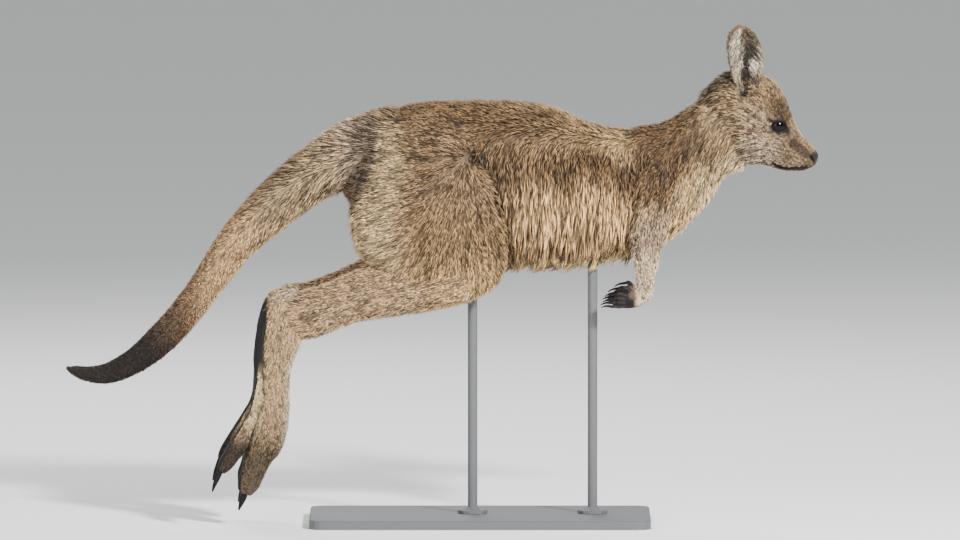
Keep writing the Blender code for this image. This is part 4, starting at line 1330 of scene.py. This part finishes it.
def add_noise(tree, scale, detail=2.0):
    """A noise laid out in the object's own metres."""
    noise = add_node(tree, "TexNoise", Scale=scale, Detail=detail)
    place = add_node(tree, "TexCoord")
    tree.links.new(place.outputs["Object"], noise.inputs["Vector"])
    return noise


def add_bump(tree, shader, noise, strength, distance):
    height = add_node(tree, "Bump", Strength=strength, Distance=distance)
    tree.links.new(noise.outputs["Fac"], height.inputs["Height"])
    tree.links.new(height.outputs["Normal"], shader.inputs["Normal"])


def read_paint(tree):
    """The colour that is kept at each point."""
    colour = add_node(tree, "Attribute")
    colour.attribute_name = "Coat"
    return colour.outputs["Color"]


def blend(tree, shader, noise, dark, light):
    """Lets the noise waver between two colours."""
    shades = add_node(tree, "ValToRGB")
    for element, colour in zip(shades.color_ramp.elements, (dark, light)):
        element.color = (*colour, 1)
    tree.links.new(noise.outputs["Fac"], shades.inputs["Fac"])
    tree.links.new(shades.outputs["Color"], shader.inputs["Base Color"])


def coat_material(name, bump=0.0):
    made, tree, shader = new_material(name, roughness=0.75, shine=0.2)
    shader.inputs["Sheen Weight"].default_value = 0.05
    shader.inputs["Sheen Roughness"].default_value = 0.5
    noise = add_noise(tree, scale=240, detail=3)
    fade = add_node(tree, "MapRange", To_Min=0.82, To_Max=1.18)
    tint = add_node(tree, "VectorMath")
    tint.operation = "SCALE"
    tree.links.new(noise.outputs["Fac"], fade.inputs["Value"])
    tree.links.new(read_paint(tree), tint.inputs[0])
    tree.links.new(fade.outputs["Result"], tint.inputs["Scale"])
    tree.links.new(tint.outputs["Vector"], shader.inputs["Base Color"])
    if bump:
        add_bump(tree, shader, noise, strength=bump, distance=0.0006)
    return made


def grained_material(name, dark, light, scale, roughness, shine=0.5):
    """A plain finish with a faint grain."""
    made, tree, shader = new_material(name, roughness, shine)
    blend(tree, shader, add_node(tree, "TexNoise", Scale=scale), dark, light)
    return made


def eye_material():
    made, tree, shader = new_material("eye", roughness=0.08, shine=0.14)
    tree.links.new(read_paint(tree), shader.inputs["Base Color"])
    return made


def stand_material():
    made, tree, shader = new_material("stand paint", roughness=0.45)
    noise = add_noise(tree, scale=900)
    blend(tree, shader, noise, *STAND_GREYS)
    add_bump(tree, shader, noise, strength=0.25, distance=0.0002)
    return made


# --- eyes, claws and whiskers
def quads_as_triangles(quads):
    return np.vstack([quads[:, [0, 1, 2]], quads[:, [0, 2, 3]]])


def closed_rings(name, rings):
    """An object from rings of points, closed with a fan at each end."""
    count, around = rings.shape[:2]
    points = np.vstack([rings.reshape(-1, 3), rings[0].mean(0), rings[-1].mean(0)])
    spot = np.arange(around)
    after = (spot + 1) % around
    first, last = count * around, count * around + 1
    low = np.stack([after, spot, np.full(around, first)], axis=1)
    base = (count - 1) * around
    high = np.stack([base + spot, base + after, np.full(around, last)], axis=1)
    faces = np.vstack([quads_as_triangles(ring_quads(count, around)), low, high])
    if dot(points[faces[:, 0]], face_normals(points, faces)).sum() < 0:
        faces = faces[:, ::-1]
    return mesh_object(name, points, faces)


def add_eyes():
    material = eye_material()
    tilt = np.linspace(0, np.pi, EYE_RINGS)[1:-1, None]
    turn = np.linspace(0, 2 * np.pi, EYE_POINTS, endpoint=False)
    wide, high = np.sin(tilt), np.cos(tilt) + 0 * turn
    grid = np.stack([wide * np.cos(turn), wide * np.sin(turn), high], axis=-1)
    tilt = np.repeat(tilt, EYE_POINTS)
    shade = mix(mix(PUPIL, IRIS, ramp(tilt, *IRIS_START)), EYE_RIM, ramp(tilt, *IRIS_END))
    for word, side in SIDES.items():
        look, ahead, up = eye_axes(side)
        points = EYE_CENTRE * (1, side, 1) + EYE_RADIUS * grid @ np.stack([ahead, up, look])
        obj = closed_rings(f"eyeball_{word}", points)
        paint(obj, np.vstack([shade, PUPIL, EYE_RIM]))
        settle(obj, material, "eye", f"eye_{word}")


def lid_edge(turn, side):
    """A point of the eye's opening on the eyeball, the outward way there, and the opening's way."""
    look, ahead, up = eye_axes(side)
    centre = EYE_CENTRE * (1, side, 1)

    def spot(at):
        across = EYE_HALF_LENGTH * np.cos(at)
        corner = np.clip(np.cos(at), 0, 1) ** 3
        rise = np.where(np.sin(at) > 0, EYE_ABOVE, EYE_BELOW) * np.sin(at) - EYE_CORNER_DROP * corner
        out = np.sqrt(EYE_RADIUS**2 - across**2 - rise**2)
        return centre + across[:, None] * ahead + rise[:, None] * up + out[:, None] * look

    place = spot(turn)
    return place, unit(place - centre), unit(spot(turn + 0.05) - spot(turn - 0.05))


def add_lids():
    """The lids' dark rims: a soft ring round each eye's opening, heavier above."""
    material = grained_material("lid", *LID_BLACKS, scale=700, roughness=0.7, shine=0.08)
    turn = np.linspace(0, 2 * np.pi, LID_POINTS, endpoint=False)
    section = np.linspace(0, 2 * np.pi, LID_SECTION_POINTS, endpoint=False)
    wide = LID_RIM_WIDTH + LID_RIM_SWELL * np.clip(np.sin(turn), 0, 1)
    for word, side in SIDES.items():
        place, out, way = lid_edge(turn, side)
        across = unit(np.cross(way, out))
        rings = (place[:, None] + across[:, None] * (wide[:, None] * np.cos(section))[..., None]
                 + out[:, None] * (LID_RIM_HEIGHT * np.sin(section))[None, :, None])
        quads = ring_quads(LID_POINTS + 1, LID_SECTION_POINTS) % (LID_POINTS * LID_SECTION_POINTS)
        obj = mesh_object(f"lid_{word}", rings.reshape(-1, 3), quads_as_triangles(quads[:, [0, 3, 2, 1]]))
        settle(obj, material, "dark_coat")


def add_lashes_and_whiskers(skin, material):
    """Short dark lashes on the upper lids, and fine stiff hairs on lips, brows and cheeks."""
    rng = np.random.default_rng(SEED + 1)
    tree = tree_of(skin.points)
    roots, ways, longs = [], [], []
    for side in SIDES.values():
        place, out, _ = lid_edge(np.linspace(*LASH_TURNS, LASHES), side)
        ways.append(out + LASH_LEAN + rng.normal(0, LASH_STRAY, out.shape))
        roots.append(place + out * LASH_RISE)
        longs.append(rng.uniform(*LASH_LENGTHS, LASHES))
        for x, z, count, reach, lean in WHISKERS:
            spots = np.stack([rng.normal(x, WHISKER_SPREAD[0], count), np.full(count, side * HEAD_SIDE),
                              rng.normal(z, WHISKER_SPREAD[1], count)], axis=1)
            found = [tree.find(spot)[1] for spot in spots]
            roots.append(skin.points[found])
            ways.append(skin.normals[found] + np.array(lean) + rng.normal(0, WHISKER_STRAY, (count, 3)))
            longs.append(rng.uniform(*WHISKER_LENGTHS, count) * reach)
    root, way, long = np.vstack(roots), unit(np.vstack(ways)), np.concatenate(longs)[:, None]
    hairs = SimpleNamespace(
        root=root, bend=root + way * long * 0.5, tip=root + (way + WHISKER_DROOP) * long,
        normal=np.tile(np.array((0.0, 0.0, 1.0)), (len(root), 1)), wide=np.full(len(root), HAIR_WIDTH))
    points = tuft_points(hairs, LONG_STATIONS).reshape(-1, 3)
    obj = mesh_object("whiskers", points, tuft_faces(LONG_STATIONS, len(root)))
    paint(obj, np.tile(WHISKER, (len(points), 1)))
    settle(obj, material, "dark_coat")


def front_claw_rows(finger):
    """A hooked claw that leaves the finger's tip along the last joint and bends down."""
    knuckle, tip = np.array(finger[1]), np.array(finger[2])
    way = unit(tip - knuckle)
    seat = tip - way * FRONT_CLAW_SEAT
    rows = [(*seat, FRONT_CLAW_RADIUS)]
    for share in FRONT_CLAW_SHARES:
        spot = tip + way * share * FRONT_CLAW_LENGTH
        arch = FRONT_CLAW_ARCH * math.sin(share * math.pi / 2) - FRONT_CLAW_HOOK * share**2
        thinning = (FRONT_CLAW_RADIUS - CLAW_POINT_RADIUS) * share**CLAW_TAPER
        rows.append((spot[0], spot[1] + arch, FRONT_CLAW_RADIUS - thinning))
    return rows


def add_claws():
    material = grained_material("claw horn", *CLAW_BLACKS, scale=300, roughness=0.4, shine=0.12)
    for word, side in SIDES.items():
        leg, arm = shifts(side)
        claws = [(f"hind_claw_{toe}_{word}", y, rows, leg) for toe, (y, rows) in HIND_CLAWS.items()]
        claws += [(f"front_claw_{number}_{word}", PALM_Y - finger[3], front_claw_rows(finger), arm)
                  for number, finger in enumerate(FINGERS, 1)]
        for node, y, rows, shift in claws:
            sections = [(x, y, z, size, size, size, 0.0) for x, z, size in rows]
            rings, _ = loft(sections, side, shift, points=CLAW_RING_POINTS, steps=CLAW_STEPS)
            settle(closed_rings(f"horn_{node}", rings), material, "claw", node)


# --- stand and studio
def finish_stand():
    material = stand_material()
    for name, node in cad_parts.items():
        if name.startswith("stand_"):
            node.data.materials.clear()
            node.data.materials.append(material)


def aim(obj, place, target):
    """Puts a light or the camera at a place, looking at a target."""
    obj.location = place
    obj.rotation_euler = (Vector(target) - Vector(place)).to_track_quat("-Z", "Y").to_euler()
    return link(obj)


def studio():
    world = bpy.data.worlds.new("studio")
    bpy.context.scene.world = world
    world.use_nodes = True
    sky = world.node_tree.nodes["Background"]
    sky.inputs["Color"].default_value = SKY
    sky.inputs["Strength"].default_value = SKY_STRENGTH
    for name, place, size, watts in LIGHTS:
        lamp = bpy.data.lights.new(name, "AREA")
        lamp.shape = "DISK"
        lamp.size = size
        lamp.energy = watts
        aim(bpy.data.objects.new(name, lamp), place, LIGHT_TARGET)
    corners = [(x * FLOOR_REACH, y * FLOOR_REACH, 0) for x, y in ((-1, -1), (1, -1), (1, 1), (-1, 1))]
    floor = mesh_object("floor", corners, [(0, 1, 2), (0, 2, 3)])
    floor.data.materials.append(grained_material("pale floor", *FLOOR_GREYS, scale=3, roughness=0.9))


def add_camera():
    lens = bpy.data.cameras.new("camera")
    lens.sensor_width = SENSOR
    lens.lens = SENSOR * CAMERA_DISTANCE / VIEW_WIDTH
    lens.clip_start = 0.5
    lens.clip_end = 200.0
    back = Vector((0.0, -math.cos(CAMERA_ELEVATION), math.sin(CAMERA_ELEVATION)))
    camera = aim(bpy.data.objects.new("camera", lens), CAMERA_TARGET + back * CAMERA_DISTANCE, CAMERA_TARGET)
    bpy.context.scene.camera = camera


def main():
    lofts = body_lofts()
    skin = read_fields(lofts, *whole_skin(lofts))
    colours, bare = markings(skin)
    add_variety(skin, colours)
    bare = bare_skin(skin, bare)
    body = mesh_object("skin", skin.points, skin.faces)
    paint(body, colours * SKIN_TONE)
    settle(body, coat_material("skin", bump=0.6), "coat", *FLESH)
    coat = coat_material("coat")
    add_coat(skin, colours, bare, coat)
    add_lashes_and_whiskers(skin, coat)
    add_lids()
    add_eyes()
    add_claws()
    finish_stand()
    studio()
    add_camera()


main()
